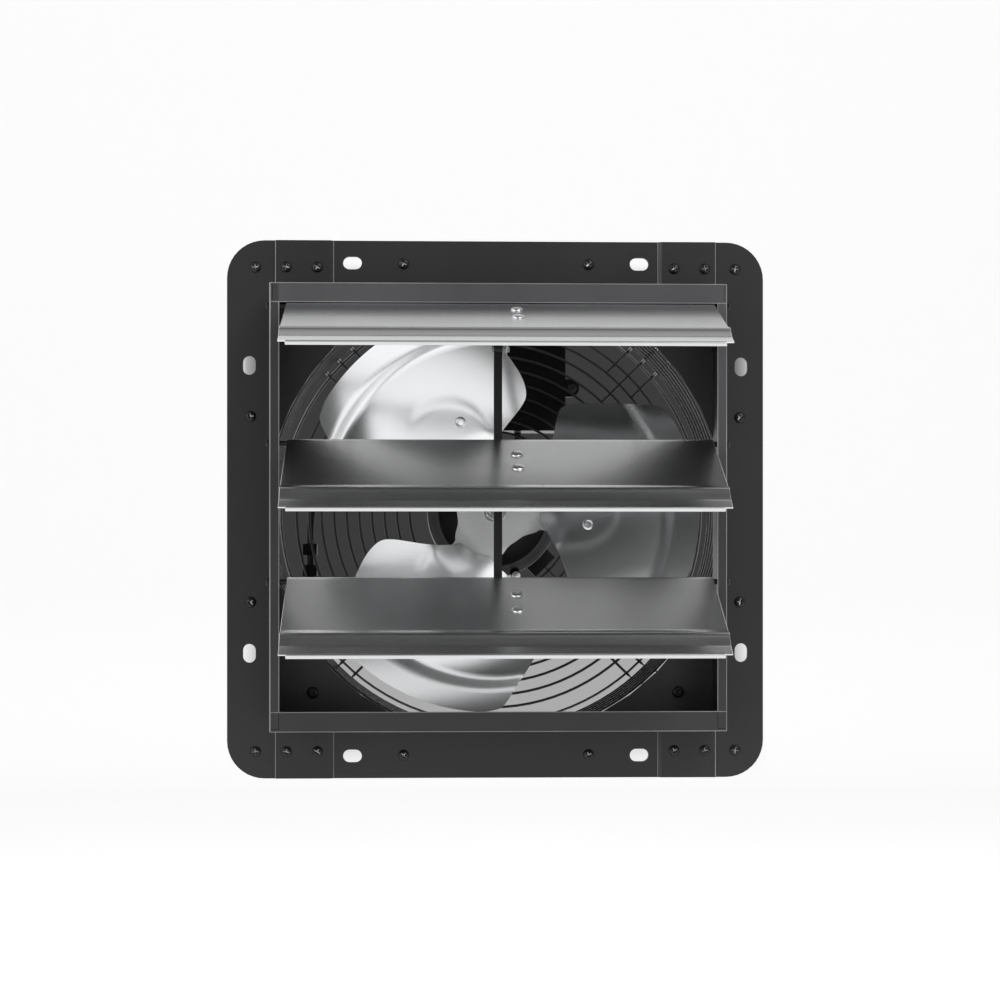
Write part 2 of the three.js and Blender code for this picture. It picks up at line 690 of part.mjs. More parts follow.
// How far back the sheet lies at a radius and an angle from the blade's own line.
function fanSurface(radius, angle) {
  const slope = BLADE_SLOPE * smooth(FLAT_HUB_R, FULL_SLOPE_R, radius);
  const run = radius * Math.sin(angle - BLADE_MIDDLE_ANGLE);
  const bow = BLADE_CAMBER * smooth(FLAT_HUB_R, creaseR, radius) * (1 - (run / (creaseR / 2)) ** 2);
  const crease = CREASE_SLOPE * Math.max(radius - creaseR, 0);
  return BLADE_BEHIND_WALL_PLANE + slope * run - bow - crease;
}

// A closed sheet from a grid of [radius, angle] places, rows along the radius.
function gridSheet(rows, front, back, turn, closedRound) {
  const columns = rows[0].length;
  const position = [];
  const index = [];
  for (const layer of [front, back]) {
    for (const row of rows) {
      for (const [radius, angle] of row) {
        const place = turn + angle;
        position.push(radius * Math.cos(place), layer(radius, angle), radius * Math.sin(place));
      }
    }
  }
  const at = (layer, row, column) => (layer * rows.length + row) * columns + (column % columns);
  const quad = (a, b, c, d) => index.push(a, b, c, a, c, d);
  const lastColumn = closedRound ? columns : columns - 1;
  for (let r = 0; r + 1 < rows.length; r += 1) {
    for (let c = 0; c < lastColumn; c += 1) {
      quad(at(0, r, c), at(0, r, c + 1), at(0, r + 1, c + 1), at(0, r + 1, c));
      quad(at(1, r, c), at(1, r + 1, c), at(1, r + 1, c + 1), at(1, r, c + 1));
    }
  }
  for (let c = 0; c < lastColumn; c += 1) {
    const last = rows.length - 1;
    quad(at(0, 0, c), at(1, 0, c), at(1, 0, c + 1), at(0, 0, c + 1));
    quad(at(0, last, c), at(0, last, c + 1), at(1, last, c + 1), at(1, last, c));
  }
  if (!closedRound) {
    for (let r = 0; r + 1 < rows.length; r += 1) {
      const last = columns - 1;
      quad(at(0, r, 0), at(0, r + 1, 0), at(1, r + 1, 0), at(1, r, 0));
      quad(at(0, r, last), at(1, r, last), at(1, r + 1, last), at(0, r + 1, last));
    }
  }
  const geometry = new THREE.BufferGeometry();
  geometry.setAttribute('position', new THREE.Float32BufferAttribute(position, 3));
  geometry.setIndex(index);
  return solid(geometry);
}

function blade(turn) {
  const rows = trailingEdgeShares.map(([share, trailing], i) => {
    const leading = leadingEdgeShares[i][1];
    const row = [];
    for (let c = 0; c < BLADE_COLUMNS; c += 1) {
      const degrees = trailing + (leading - trailing) * (c / (BLADE_COLUMNS - 1));
      row.push([share * bladeTipR, THREE.MathUtils.degToRad(degrees)]);
    }
    return row;
  });
  const back = (radius, angle) => fanSurface(radius, angle) + BLADE_SHEET;
  return gridSheet(rows, fanSurface, back, turn, false);
}

const spiderFront = BLADE_SHEET + BLADE_SEAT;
const boreR = SHAFT_R + GAP;

// How far a spider reaches: a low shoulder out of the waist, then a broad arm with steep sides.
function spiderReach(place) {
  const [shoulderLow, shoulderHigh, armLow, armHigh] = spiderLobeShares;
  const lobe = Math.cos(BLADE_COUNT * (place - SPIDER_ARM_ANGLE));
  const share = SPIDER_SHOULDER_SHARE * smooth(shoulderLow, shoulderHigh, lobe)
    + (1 - SPIDER_SHOULDER_SHARE) * smooth(armLow, armHigh, lobe);
  return SPIDER_WAIST_R + (SPIDER_ARM_R - SPIDER_WAIST_R) * share;
}

// Three-armed spider whose arms follow the blades from behind, with rows where the blades have theirs.
function spider() {
  const arm = (2 * Math.PI) / BLADE_COUNT;
  const bladeRows = trailingEdgeShares.map(([share]) => share * bladeTipR);
  const radii = [boreR, FLAT_HUB_R, ...bladeRows.filter((radius) => radius < SPIDER_ARM_R), SPIDER_ARM_R];
  const rows = radii.map((radius) => {
    const row = [];
    for (let c = 0; c < SPIDER_STEPS; c += 1) {
      const place = (c / SPIDER_STEPS) * 2 * Math.PI;
      row.push([Math.min(radius, spiderReach(place)), place]);
    }
    return row;
  });
  const near = (place) => {
    const fromArm = place - SPIDER_ARM_ANGLE;
    return fromArm - Math.round(fromArm / arm) * arm + SPIDER_ARM_ANGLE;
  };
  const front = (radius, place) => fanSurface(radius, near(place)) + spiderFront;
  const back = (radius, place) => front(radius, place) + SPIDER_SHEET;
  return gridSheet(rows, front, back, FIRST_BLADE_ANGLE, true);
}

const hubFront = fanSurface(0, 0) + spiderFront;
const hubBack = hubFront + SPIDER_SHEET;
const shaftFront = hubFront - GAP - WASHER - NUT_HEIGHT - SHAFT_END;

function hubBoss() {
  const start = hubBack + GAP;
  return turnedY([
    [boreR, start], [BOSS_FLANGE_R, start], [BOSS_FLANGE_R, start + BOSS_FLANGE],
    [BOSS_R, start + BOSS_FLANGE], [BOSS_R, start + BOSS_LENGTH], [boreR, start + BOSS_LENGTH],
    [boreR, start],
  ], ROUND_STEPS);
}

function hubNut() {
  const seat = hubFront - GAP;
  const nutBack = seat - WASHER;
  const nutFront = nutBack - NUT_HEIGHT;
  const washer = rodY(WASHER_R, nutBack, seat, ROUND_STEPS);
  const nut = rodY(NUT_R, nutFront, nutBack, HEX_SIDES);
  return washer.add(nut).subtract(rodY(boreR, nutFront - OVERRUN, seat + OVERRUN, ROUND_STEPS));
}

function shaft() {
  return rodY(SHAFT_R, shaftFront, MOTOR_FRONT + BEARING_DEPTH - GAP, ROUND_STEPS);
}

// Motor

const motorBack = MOTOR_FRONT + MOTOR_LENGTH;

function motorHousing() {
  let body = turnedY([
    [0, MOTOR_FRONT - MOTOR_COLLAR], [MOTOR_COLLAR_R, MOTOR_FRONT - MOTOR_COLLAR],
    [MOTOR_COLLAR_R + MOTOR_COLLAR, MOTOR_FRONT], [MOTOR_FACE_R, MOTOR_FRONT],
    [MOTOR_FACE_R + MOTOR_SHOULDER / 2, MOTOR_FRONT + MOTOR_SHOULDER / 3],
    [MOTOR_R, MOTOR_FRONT + MOTOR_SHOULDER], [MOTOR_R, motorBack], [0, motorBack],
  ], FINE_STEPS);
  for (let i = 0; i < MOTOR_BOLT_COUNT; i += 1) {
    const angle = MOTOR_BOLT_ANGLE + (i * 2 * Math.PI) / MOTOR_BOLT_COUNT;
    const x = MOTOR_BOLT_CIRCLE_R * Math.cos(angle);
    const z = MOTOR_BOLT_CIRCLE_R * Math.sin(angle);
    body = body.add(rodY(MOTOR_BOLT_R, MOTOR_FRONT + MOTOR_SHOULDER / 2, motorBack, SMALL_STEPS, x, z));
  }
  const bore = rodY(boreR, MOTOR_FRONT - MOTOR_COLLAR - OVERRUN, MOTOR_FRONT + BEARING_DEPTH, ROUND_STEPS);
  return body.subtract(bore);
}

const mountFront = motorBack + GAP;
const mountBack = mountFront + MOUNT_SHEET;

// Sheet ring behind the motor, with an ear out to the guard's radial wires on each diagonal.
function mountPlate() {
  let body = rodY(MOUNT_R, mountFront, mountBack, FINE_STEPS);
  const half = MOUNT_EAR_WIDTH / 2;
  const ear = block([0, MOUNT_REACH], [mountFront, mountBack], [-half, half]);
  for (const [x, z] of footScrewPlaces()) {
    body = body.add(ear.rotate([0, -THREE.MathUtils.radToDeg(Math.atan2(z, x)), 0]));
  }
  return body.subtract(rodY(
    CAP_R + GAP, mountFront - OVERRUN, mountBack + OVERRUN, ROUND_STEPS + SMALL_STEPS));
}

function motorCap() {
  return turnedY([
    [0, mountFront], [CAP_R, mountFront], [CAP_R, mountFront + CAP_LENGTH * CAP_SIDE_SHARE],
    [CAP_R * CAP_END_SHARE, mountFront + CAP_LENGTH], [0, mountFront + CAP_LENGTH],
  ], ROUND_STEPS + SMALL_STEPS);
}

// Guard

const radialY = mountBack + GAP + WIRE_R;
const rearRingY = radialY - layerStep;
const wireFront = GAP + WIRE_R;

// A ring of wire about the fan's axis.
function ring(radius, y) {
  const profile = [];
  for (let i = 0; i <= WIRE_SIDES; i += 1) {
    const angle = (i / WIRE_SIDES) * 2 * Math.PI;
    profile.push([radius + WIRE_R * Math.cos(angle), y + WIRE_R * Math.sin(angle)]);
  }
  return turnedY(profile, ringSteps(radius));
}

// Facets of a ring: fewer on a small one, and always a corner on each diagonal.
function ringSteps(radius) {
  const diagonals = 8;
  return Math.max(2, Math.round((RING_STEPS / diagonals) * (radius / guardR))) * diagonals;
}

// A wire or lead of round section along a path.
function tube(path, radius, sides, steps) {
  const section = [];
  for (let i = 0; i < sides; i += 1) {
    const angle = (i / sides) * 2 * Math.PI;
    section.push([radius * Math.cos(angle), radius * Math.sin(angle)]);
  }
  const geometry = new THREE.ExtrudeGeometry(outline(section), {
    steps, bevelEnabled: false, extrudePath: path,
  });
  return solid(geometry);
}

// A wire that runs back along the basket's side, turns its corner and runs inward to a radius.
function basketWire(angle, sideways, innerR) {
  const centre = longR - GUARD_CORNER_R;
  const outward = new THREE.Vector3(Math.cos(angle), 0, Math.sin(angle));
  const across = new THREE.Vector3(-Math.sin(angle), 0, Math.cos(angle)).multiplyScalar(sideways);
  const facet = Math.PI / RING_STEPS;
  const chordShare = Math.cos(facet) / Math.cos(facet - Math.abs(sideways) / longR);
  const inset = longR - Math.sqrt(longR ** 2 - sideways ** 2) + (sideways ? longR * (1 - chordShare) : 0);
  const place = (r, y) => outward.clone().multiplyScalar(r - inset).add(across).setY(y);
  const path = new THREE.CurvePath();
  const start = place(longR, wireFront);
  const cornerStart = place(longR, radialY - GUARD_CORNER_R);
  const cornerEnd = place(centre, radialY);
  path.add(new THREE.LineCurve3(start, cornerStart));
  path.add(new THREE.QuadraticBezierCurve3(cornerStart, place(longR, radialY), cornerEnd));
  path.add(new THREE.LineCurve3(cornerEnd, place(innerR, radialY)));
  const steps = Math.round(path.getLength() / GUARD_CORNER_R);
  return tube(path, WIRE_R, WIRE_SIDES, steps);
}

// Foot: a flat lug from the front ring out to the screw.
function guardFoot(x, z) {
  const shape = new THREE.Shape();
  const half = FOOT_WIDTH / 2;
  const end = footReach - half;
  shape.moveTo(frontRingR - WIRE_R, -half);
  shape.lineTo(end, -half);
  shape.absarc(end, 0, half, -Math.PI / 2, Math.PI / 2);
  shape.lineTo(frontRingR - WIRE_R, half);
  const geometry = new THREE.ExtrudeGeometry(shape, {
    depth: FOOT_SHEET, bevelEnabled: false, curveSegments: CORNER_STEPS,
  });
  geometry.rotateX(Math.PI / 2);
  geometry.translate(0, GAP + FOOT_SHEET, 0);
  geometry.rotateY(-Math.atan2(z, x));
  return solid(geometry).subtract(rodY(SCREW_R + GAP, -OVERRUN, FOOT_SHEET + OVERRUN, SMALL_STEPS, x, z));
}

function guard() {
  let body = ring(frontRingR, wireFront);
  for (let i = 1; i <= SIDE_RING_COUNT; i += 1) {
    body = body.add(ring(guardR, wireFront + i * SIDE_RING_PITCH));
  }
  const centre = longR - GUARD_CORNER_R;
  const cornerReach = (GUARD_CORNER_R - layerStep) * Math.SQRT1_2;
  body = body.add(ring(centre + cornerReach, radialY - GUARD_CORNER_R + cornerReach));
  const pitch = (centre - REAR_RING_INSIDE_CORNER - REAR_RING_SMALLEST_R) / (REAR_RING_COUNT - 1);
  for (let i = 0; i < REAR_RING_COUNT; i += 1) {
    body = body.add(ring(REAR_RING_SMALLEST_R + i * pitch, rearRingY));
  }
  for (const [x, z] of footScrewPlaces()) {
    const angle = Math.atan2(z, x);
    body = body.add(basketWire(angle, 0, (CAP_R + MOUNT_REACH) / 2));
    for (const side of [-1, 1]) body = body.add(basketWire(angle, side * FLANK_OFFSET, centre - FLANK_RUN));
    body = body.add(guardFoot(x, z));
  }
  return body;
}

// Junction box and leads

const junctionFront = radialY + WIRE_R + GAP;
const junctionRight = JUNCTION_LEFT + JUNCTION_WIDTH;
const junctionLow = JUNCTION_MIDDLE_Z - JUNCTION_HEIGHT / 2;
const junctionHigh = JUNCTION_MIDDLE_Z + JUNCTION_HEIGHT / 2;
const junctionBack = junctionFront + JUNCTION_DEPTH;
const glandY = (junctionFront + junctionBack) / 2;
const glandZ = junctionLow + GLAND_FLOOR;
const motorLeadX = JUNCTION_LEFT + JUNCTION_WIDTH / 4;

// Open box with a strap across its front wall, whose round ends are the lugs for its screws.
function junctionBox() {
  let body = block(
    [JUNCTION_LEFT, junctionRight], [junctionFront, junctionBack], [junctionLow, junctionHigh]);
  const strapWidth = JUNCTION_WIDTH + 2 * LUG_LENGTH;
  const strap = roundedRectangle(
    (JUNCTION_LEFT + junctionRight) / 2, JUNCTION_MIDDLE_Z, strapWidth, LUG_HEIGHT, LUG_HEIGHT / 2);
  body = body.add(slabXZ(strap, junctionFront, junctionFront + LUG_SHEET));
  body = body.subtract(block(
    [JUNCTION_LEFT + JUNCTION_WALL, junctionRight - JUNCTION_WALL],
    [junctionFront + JUNCTION_WALL, junctionBack + OVERRUN],
    [junctionLow + JUNCTION_WALL, junctionHigh - JUNCTION_WALL]));
  const hole = [junctionFront - OVERRUN, junctionFront + LUG_SHEET + OVERRUN];
  for (const x of [JUNCTION_LEFT - LUG_LENGTH / 2, junctionRight + LUG_LENGTH / 2]) {
    body = body.subtract(rodY(LUG_HOLE_R, ...hole, SMALL_STEPS, x, JUNCTION_MIDDLE_Z));
  }
  const entry = [JUNCTION_LEFT - OVERRUN, JUNCTION_LEFT + JUNCTION_WALL + OVERRUN];
  return body.subtract(rodX(GLAND_R / 2 + GAP + GAP, ...entry, ROUND_STEPS, glandY, glandZ));
}

function junctionLid() {
  const start = junctionBack + GAP;
  const lid = block([JUNCTION_LEFT, junctionRight], [start, start + LID_SHEET], [junctionLow, junctionHigh]);
  const inset = JUNCTION_WALL + GAP;
  const spigot = block(
    [JUNCTION_LEFT + inset, junctionRight - inset], [start - LID_SHEET, start + LID_SHEET / 2],
    [junctionLow + inset, junctionHigh - inset]);
  return lid.add(spigot);
}

// Gland with a dome nut, its thread through the wall of the junction box.
function cableGland() {
  const seat = JUNCTION_LEFT - GAP;
  const bore = LEAD_R + GAP;
  const thread = GLAND_R / 2;
  const end = seat - GLAND_LENGTH;
  const threadEnd = seat + GAP + JUNCTION_WALL;
  return turnedX([
    [bore, end], [GLAND_R * GLAND_DOME_SHARE, end], [GLAND_R, seat - GLAND_LENGTH * GLAND_NUT_SHARE],
    [GLAND_R, seat], [thread, seat], [thread, threadEnd], [bore, threadEnd], [bore, end],
  ], ROUND_STEPS, glandY, glandZ);
}

// Supply lead: out of the box, behind the fan, down the guard and forward to its anchor.
function supplyLead() {
  const points = LEAD_ROUTE.map((place) => new THREE.Vector3(...place));
  const path = new THREE.CatmullRomCurve3(points, false, 'centripetal');
  return tube(path, LEAD_R, LEAD_SIDES, LEAD_STEPS);
}

// Anchor that holds the lead's end on the orifice plate.
function leadAnchor() {
  const [x, , z] = LEAD_ROUTE[LEAD_ROUTE.length - 1];
  const bore = LEAD_R + GAP;
  const end = GAP + ANCHOR_LENGTH;
  return turnedY([
    [0, GAP], [ANCHOR_R, GAP], [ANCHOR_R, end * ANCHOR_NUT_SHARE], [bore + BUSH_WALL, end], [bore, end],
    [bore, GAP + OVERRUN], [0, GAP + OVERRUN],
  ], ROUND_STEPS, x, z);
}

// Clip around the lead, seated on the guard's rings.
function leadClip(height) {
  const [x, y] = [LEAD_STRAIGHT_X, LEAD_STRAIGHT_Y];
  const bore = LEAD_R + GAP;
  const outer = bore + CLIP_WALL;
  const section = new THREE.Shape();
  const seat = rearRingY + WIRE_R + GAP;
  section.moveTo(x - outer, seat);
  section.lineTo(x + outer, seat);
  section.lineTo(x + outer, y);
  section.absarc(x, y, outer, 0, Math.PI);
  section.lineTo(x - outer, seat);
  const hole = new THREE.Path();
  hole.absarc(x, y, bore, 0, Math.PI * 2);
  section.holes.push(hole);
  const geometry = new THREE.ExtrudeGeometry(section, {
    depth: CLIP_LENGTH, bevelEnabled: false, curveSegments: SMALL_STEPS,
  });
  geometry.translate(0, 0, height - CLIP_LENGTH / 2);
  return solid(geometry);
}

// Short lead from the junction box to the motor, seated between the two.
function motorLead() {
  const top = junctionLow - GAP;
  const entry = (CAP_R + MOUNT_R) / 2 - MOTOR_LEAD_R;
  const path = new THREE.CatmullRomCurve3([
    new THREE.Vector3(motorLeadX, glandY, top),
    new THREE.Vector3(motorLeadX, glandY, top - 2 * MOTOR_LEAD_R),
    new THREE.Vector3(motorLeadX, mountBack + 3 * MOTOR_LEAD_R, entry + 2 * MOTOR_LEAD_R),
    new THREE.Vector3(motorLeadX, mountBack + 2 * MOTOR_LEAD_R, entry),
    new THREE.Vector3(motorLeadX, mountBack + GAP, entry),
  ]);
  return tube(path, MOTOR_LEAD_R, LEAD_SIDES, MOTOR_LEAD_STEPS);
}

// The whole fan
const fan = new THREE.Group();

const frame = new THREE.Group();
piece('frame_side_left', sideMember(-1), charcoal, frame);
piece('frame_side_right', sideMember(1), charcoal, frame);
piece('frame_top', levelMember(1), charcoal, frame);
piece('frame_bottom', levelMember(-1), charcoal, frame);
piece('orifice_plate', orificePlate(), blackSheet, frame);
piece('guard', guard(), blackWire, frame);
footScrewPlaces().forEach((place, i) => piece(`guard_screw_${i + 1}`, guardScrew(place), steel, frame));
piece('motor_housing', motorHousing(), blackSheet, frame);
piece('motor_mount_plate', mountPlate(), blackSheet, frame);
piece('motor_rear_cap', motorCap(), blackSheet, frame);
piece('junction_box', junctionBox(), nylon, frame);
piece('junction_box_lid', junctionLid(), nylon, frame);
piece('cable_gland', cableGland(), nylon, frame);
piece('supply_lead', supplyLead(), rubber, frame);
piece('lead_anchor', leadAnchor(), nylon, frame);
piece('motor_lead', motorLead(), rubber, frame);
CLIP_HEIGHTS.forEach((height, i) => piece(`lead_clip_${i + 1}`, leadClip(height), nylon, frame));
fan.add(frame);

const rotor = new THREE.Group();
for (let i = 0; i < BLADE_COUNT; i += 1) {
  piece(`blade_${i + 1}`, blade(FIRST_BLADE_ANGLE + (i * 2 * Math.PI) / BLADE_COUNT), aluminium, rotor);
}
piece('blade_spider', spider(), aluminium, rotor);
piece('hub_boss', hubBoss(), steel, rotor);
piece('hub_nut', hubNut(), steel, rotor);
piece('motor_shaft', shaft(), steel, rotor);
fan.add(rotor);

const louvreNames = ['top', 'middle', 'bottom'];
const openAngles = [TOP_OPEN_ANGLE, OPEN_ANGLE, OPEN_ANGLE];
pivotHeights().forEach((z, i) => {
  const name = louvreNames[i];
  const louvre = new THREE.Group();
  louvre.position.set(0, pivotY, z);
  louvre.rotation.x = -openAngles[i];
  piece(`louvre_${name}`, louvrePanel(), aluminium, louvre);
  piece(`crank_bracket_${name}`, crankBracket(), steel, louvre);
  piece(`crank_pin_${name}`, crankPin(), steel, louvre);
  piece(`pivot_pin_${name}_left`, pivotPin(-1), steel, louvre);
  piece(`pivot_pin_${name}_right`, pivotPin(1), steel, louvre);
  RIVET_PLACES.forEach((place, n) => piece(`rivet_${name}_${n + 1}`, rivet(place), steel, louvre));
  fan.add(louvre);
  piece(`bush_${name}_left`, bush(-1, z), nylon, frame);
  piece(`bush_${name}_right`, bush(1, z), nylon, frame);
});

const crank = crankPlace(OPEN_ANGLE);
const bar = piece('tie_bar', tieBar(), blackSheet, fan);
bar.position.set(0, pivotY - crank.forward, pivotHeights()[1] + crank.up);

export default fan;
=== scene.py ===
# Shutter exhaust fan: looks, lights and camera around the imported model. Metres, +Z up, louvres face -Y.
import math

import bpy
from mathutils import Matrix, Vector


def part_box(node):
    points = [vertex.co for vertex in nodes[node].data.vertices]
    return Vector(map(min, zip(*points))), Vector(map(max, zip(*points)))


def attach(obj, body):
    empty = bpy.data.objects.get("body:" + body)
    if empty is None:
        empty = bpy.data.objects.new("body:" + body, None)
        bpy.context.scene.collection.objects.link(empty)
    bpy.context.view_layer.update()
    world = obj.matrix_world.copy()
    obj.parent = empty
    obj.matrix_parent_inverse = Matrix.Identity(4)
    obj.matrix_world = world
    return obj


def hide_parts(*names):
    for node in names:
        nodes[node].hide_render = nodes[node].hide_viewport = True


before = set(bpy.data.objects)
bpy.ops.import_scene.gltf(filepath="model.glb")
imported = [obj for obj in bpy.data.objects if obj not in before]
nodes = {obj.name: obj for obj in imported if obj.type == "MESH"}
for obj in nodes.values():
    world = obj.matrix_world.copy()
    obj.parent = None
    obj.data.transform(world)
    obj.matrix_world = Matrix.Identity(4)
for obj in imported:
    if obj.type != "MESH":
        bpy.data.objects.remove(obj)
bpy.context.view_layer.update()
MM = 0.001


# Node materials

class Nodes:
    """A small helper that builds one node tree."""

    def __init__(self, tree):
        self.tree = tree

    def new(self, kind):
        return self.tree.nodes.new(kind)

    def link(self, source, target):
        self.tree.links.new(source, target)

    def math(self, operation, a, b=0.0):
        node = self.new("ShaderNodeMath")
        node.operation = operation
        for socket, value in zip(node.inputs, (a, b)):
            if hasattr(value, "node"):
                self.link(value, socket)
            else:
                socket.default_value = value
        return node.outputs[0]

    def split(self, kind, output):
        """The X, Y and Z of a place that a node of this kind gives."""
        place = self.new(kind)
        parts = self.new("ShaderNodeSeparateXYZ")
        self.link(place.outputs[output], parts.inputs[0])
        return parts.outputs

    def noise(self, scale, detail, roughness=0.5, stretch=(1, 1, 1)):
        place = self.new("ShaderNodeTexCoord")
        mapping = self.new("ShaderNodeMapping")
        mapping.inputs["Scale"].default_value = stretch
        self.link(place.outputs["Object"], mapping.inputs["Vector"])
        node = self.new("ShaderNodeTexNoise")
        node.inputs["Scale"].default_value = scale
        node.inputs["Detail"].default_value = detail
        node.inputs["Roughness"].default_value = roughness
        self.link(mapping.outputs["Vector"], node.inputs["Vector"])
        return node.outputs["Fac"]

    def ramp(self, value, stops):
        node = self.new("ShaderNodeValToRGB")
        elements = node.color_ramp.elements
        for i, (place, colour) in enumerate(stops):
            element = elements[i] if i < len(elements) else elements.new(place)
            element.position = place
            element.color = (*colour, 1.0)
        self.link(value, node.inputs["Fac"])
        return node.outputs["Color"]

    def span(self, value, results, limits=(0.0, 1.0), smooth=False):
        """The first result up to the first limit and the second beyond the other. Limits may rise or fall."""
        node = self.new("ShaderNodeMapRange")
        if smooth:
            node.interpolation_type = "SMOOTHSTEP"
        node.inputs["From Min"].default_value = limits[0]
        node.inputs["From Max"].default_value = limits[1]
        node.inputs["To Min"].default_value = results[0]
        node.inputs["To Max"].default_value = results[1]
        self.link(value, node.inputs["Value"])
        return node.outputs["Result"]

    def step(self, value, limits):
        """Zero up to the first limit and one beyond the second, with a smooth change."""
        return self.span(value, (0.0, 1.0), limits, smooth=True)

    def bump(self, height, strength, distance):
        node = self.new("ShaderNodeBump")
        node.inputs["Strength"].default_value = strength
        node.inputs["Distance"].default_value = distance
        self.link(height, node.inputs["Height"])
        return node.outputs["Normal"]


def new_material(name):
    material = bpy.data.materials.new(name)
    material.use_nodes = True
    tree = material.node_tree
    shader = tree.nodes["Principled BSDF"]
    return material, Nodes(tree), shader


# Noises as scale, detail and roughness: cloudy tone and smudged gloss of coats, streaks and clouds of metal.
COAT_CLOUD, COAT_SMUDGE = (9.0, 4.0, 0.5), (34.0, 5.0, 0.6)
METAL_STREAK, METAL_CLOUD = (26.0, 4.0, 0.6), (7.0, 3.0, 0.5)
# Where a noise gives the dark tone and where the light one, and how far the roughness goes down and up.
DARK_AT, LIGHT_AT = 0.3, 0.7
COAT_ROUGH_SPAN, METAL_ROUGH_SPAN = (0.06, 0.08), (0.03, 0.04)
# Strength of the bumps, detail of the coat's grain, and how streaks are squeezed across and drawn out.
GRAIN_STRENGTH, GRAIN_DETAIL, STREAK_STRENGTH = 0.35, 2.0, 0.05
STREAK_SQUEEZE, STREAK_DRAW = 60.0, 1.2


def tone_and_gloss(n, shader, tone, gloss, dark, light, rough, span):
    """A tone that follows one noise and a roughness that follows the same or another."""
    n.link(n.ramp(tone, [(DARK_AT, dark), (LIGHT_AT, light)]), shader.inputs["Base Color"])
    n.link(n.span(gloss, (rough - span[0], rough + span[1])), shader.inputs["Roughness"])


def coated(name, dark, light, rough, grain, depth, metal=0.0, coat=0.0, shine=0.5):
    """Powder coat, paint or moulded plastic: a fine grain, slow changes of tone and of gloss."""
    material, n, shader = new_material(name)
    cloud, smudge = n.noise(*COAT_CLOUD), n.noise(*COAT_SMUDGE)
    tone_and_gloss(n, shader, cloud, smudge, dark, light, rough, COAT_ROUGH_SPAN)
    n.link(n.bump(n.noise(grain, GRAIN_DETAIL), GRAIN_STRENGTH, depth), shader.inputs["Normal"])
    shader.inputs["Metallic"].default_value = metal
    shader.inputs["Coat Weight"].default_value = coat
    shader.inputs["Specular IOR Level"].default_value = shine
    return material


# The direction in which a sheet was rolled.
ALONG_X, ALONG_Z = 0, 2


def sheet_metal(name, dark, light, rough, along=ALONG_X, depth=0.00002, streaks=0.45):
    """Rolled sheet: fine streaks along the rolling direction, and a cloudy change of tone and gloss."""
    material, n, shader = new_material(name)
    stretch = [STREAK_SQUEEZE] * 3
    stretch[along] = STREAK_DRAW
    streak = n.noise(*METAL_STREAK, stretch)
    cloud = n.noise(*METAL_CLOUD)
    mix = n.math("ADD", n.math("MULTIPLY", streak, streaks), n.math("MULTIPLY", cloud, 1.0 - streaks))
    tone_and_gloss(n, shader, mix, mix, dark, light, rough, METAL_ROUGH_SPAN)
    n.link(n.bump(streak, STREAK_STRENGTH, depth), shader.inputs["Normal"])
    shader.inputs["Metallic"].default_value = 1.0
    return material


def grey(value, tint=0.0):
    return (value, value, value + tint)


# Painted light on the frame's coat: where it gets lighter, in metres, and by how much. The upper part gets
# lighter still, as painted light from above, apart from the rim at the left.
RIM_BACK_TO_FRONT, RIM_LIGHT_GAIN = (-0.050, -0.060), 2.1
RIM_UPPER, RIM_LEFT_EDGE, RIM_UPPER_LIGHT_GAIN = (0.0, 0.1), (-0.159, -0.157), 2.3


def paint_rim_light(material):
    """Paints light on the rim that stands out towards the room, and more on its upper part, as a lighter tone
    of the same coat.
    """
    n = Nodes(material.node_tree)
    shader = material.node_tree.nodes["Principled BSDF"]
    colour = shader.inputs["Base Color"].links[0].from_socket
    place = n.split("ShaderNodeNewGeometry", "Position")
    near = n.span(place["Y"], (0.0, RIM_LIGHT_GAIN), RIM_BACK_TO_FRONT)
    upper = n.math("MULTIPLY", n.step(place["Z"], RIM_UPPER), n.step(place["X"], RIM_LEFT_EDGE))
    gain = n.math("MULTIPLY", n.span(upper, (1.0, RIM_UPPER_LIGHT_GAIN)), near)
    scale = n.new("ShaderNodeVectorMath")
    scale.operation = "SCALE"
    n.link(colour, scale.inputs[0])
    n.link(n.math("MAXIMUM", gain, 1.0), scale.inputs["Scale"])
    n.link(scale.outputs["Vector"], shader.inputs["Base Color"])


# Dark and light tone, roughness, then the grain's scale and its height in metres.
charcoal = coated("charcoal_coat", grey(0.014, 0.001), grey(0.020, 0.001), 0.40, 900.0, 0.00003)
# Painted light: a lighter tone of the coat on the frame's rim and upper part.
paint_rim_light(charcoal)
black_sheet = coated("black_sheet_coat", grey(0.036), grey(0.046, 0.001), 0.46, 900.0, 0.00003)
black_wire = coated("black_wire_coat", grey(0.003), grey(0.006), 0.14, 700.0, 0.00001, coat=1.0)
# A lighter, metallic copy of the wire coat for the long wires' front stretches: painted glints.
wire_painted_glint = coated("wire_painted_glint_coat", grey(0.05), grey(0.08), 0.16, 700.0, 0.00001, metal=0.5, coat=1.0)
# A darker, duller copy of the wire coat for the rear wires: painted shade.
wire_painted_shade = coated("wire_painted_shade_coat", grey(0.002), grey(0.004), 0.5, 700.0, 0.00001)
motor_paint = coated("motor_paint", grey(0.002), grey(0.004), 0.24, 420.0, 0.00002, shine=0.25)
nylon = coated("black_nylon", grey(0.001), grey(0.003), 0.30, 160.0, 0.00004, shine=0.15)
rubber = coated("cord_rubber", grey(0.003), grey(0.006), 0.55, 800.0, 0.00003, shine=0.25)
black_steel = coated("black_steel", grey(0.010), grey(0.016), 0.36, 600.0, 0.00002, metal=0.3)
screw_metal = coated("screw_black", grey(0.012), grey(0.020), 0.34, 700.0, 0.00002, metal=0.4)
# A pale coat for beads along the frame's edges: painted highlights.
painted_edge_highlight = coated("painted_edge_highlight_coat", grey(0.22), grey(0.42), 0.34, 90.0, 0.00002)
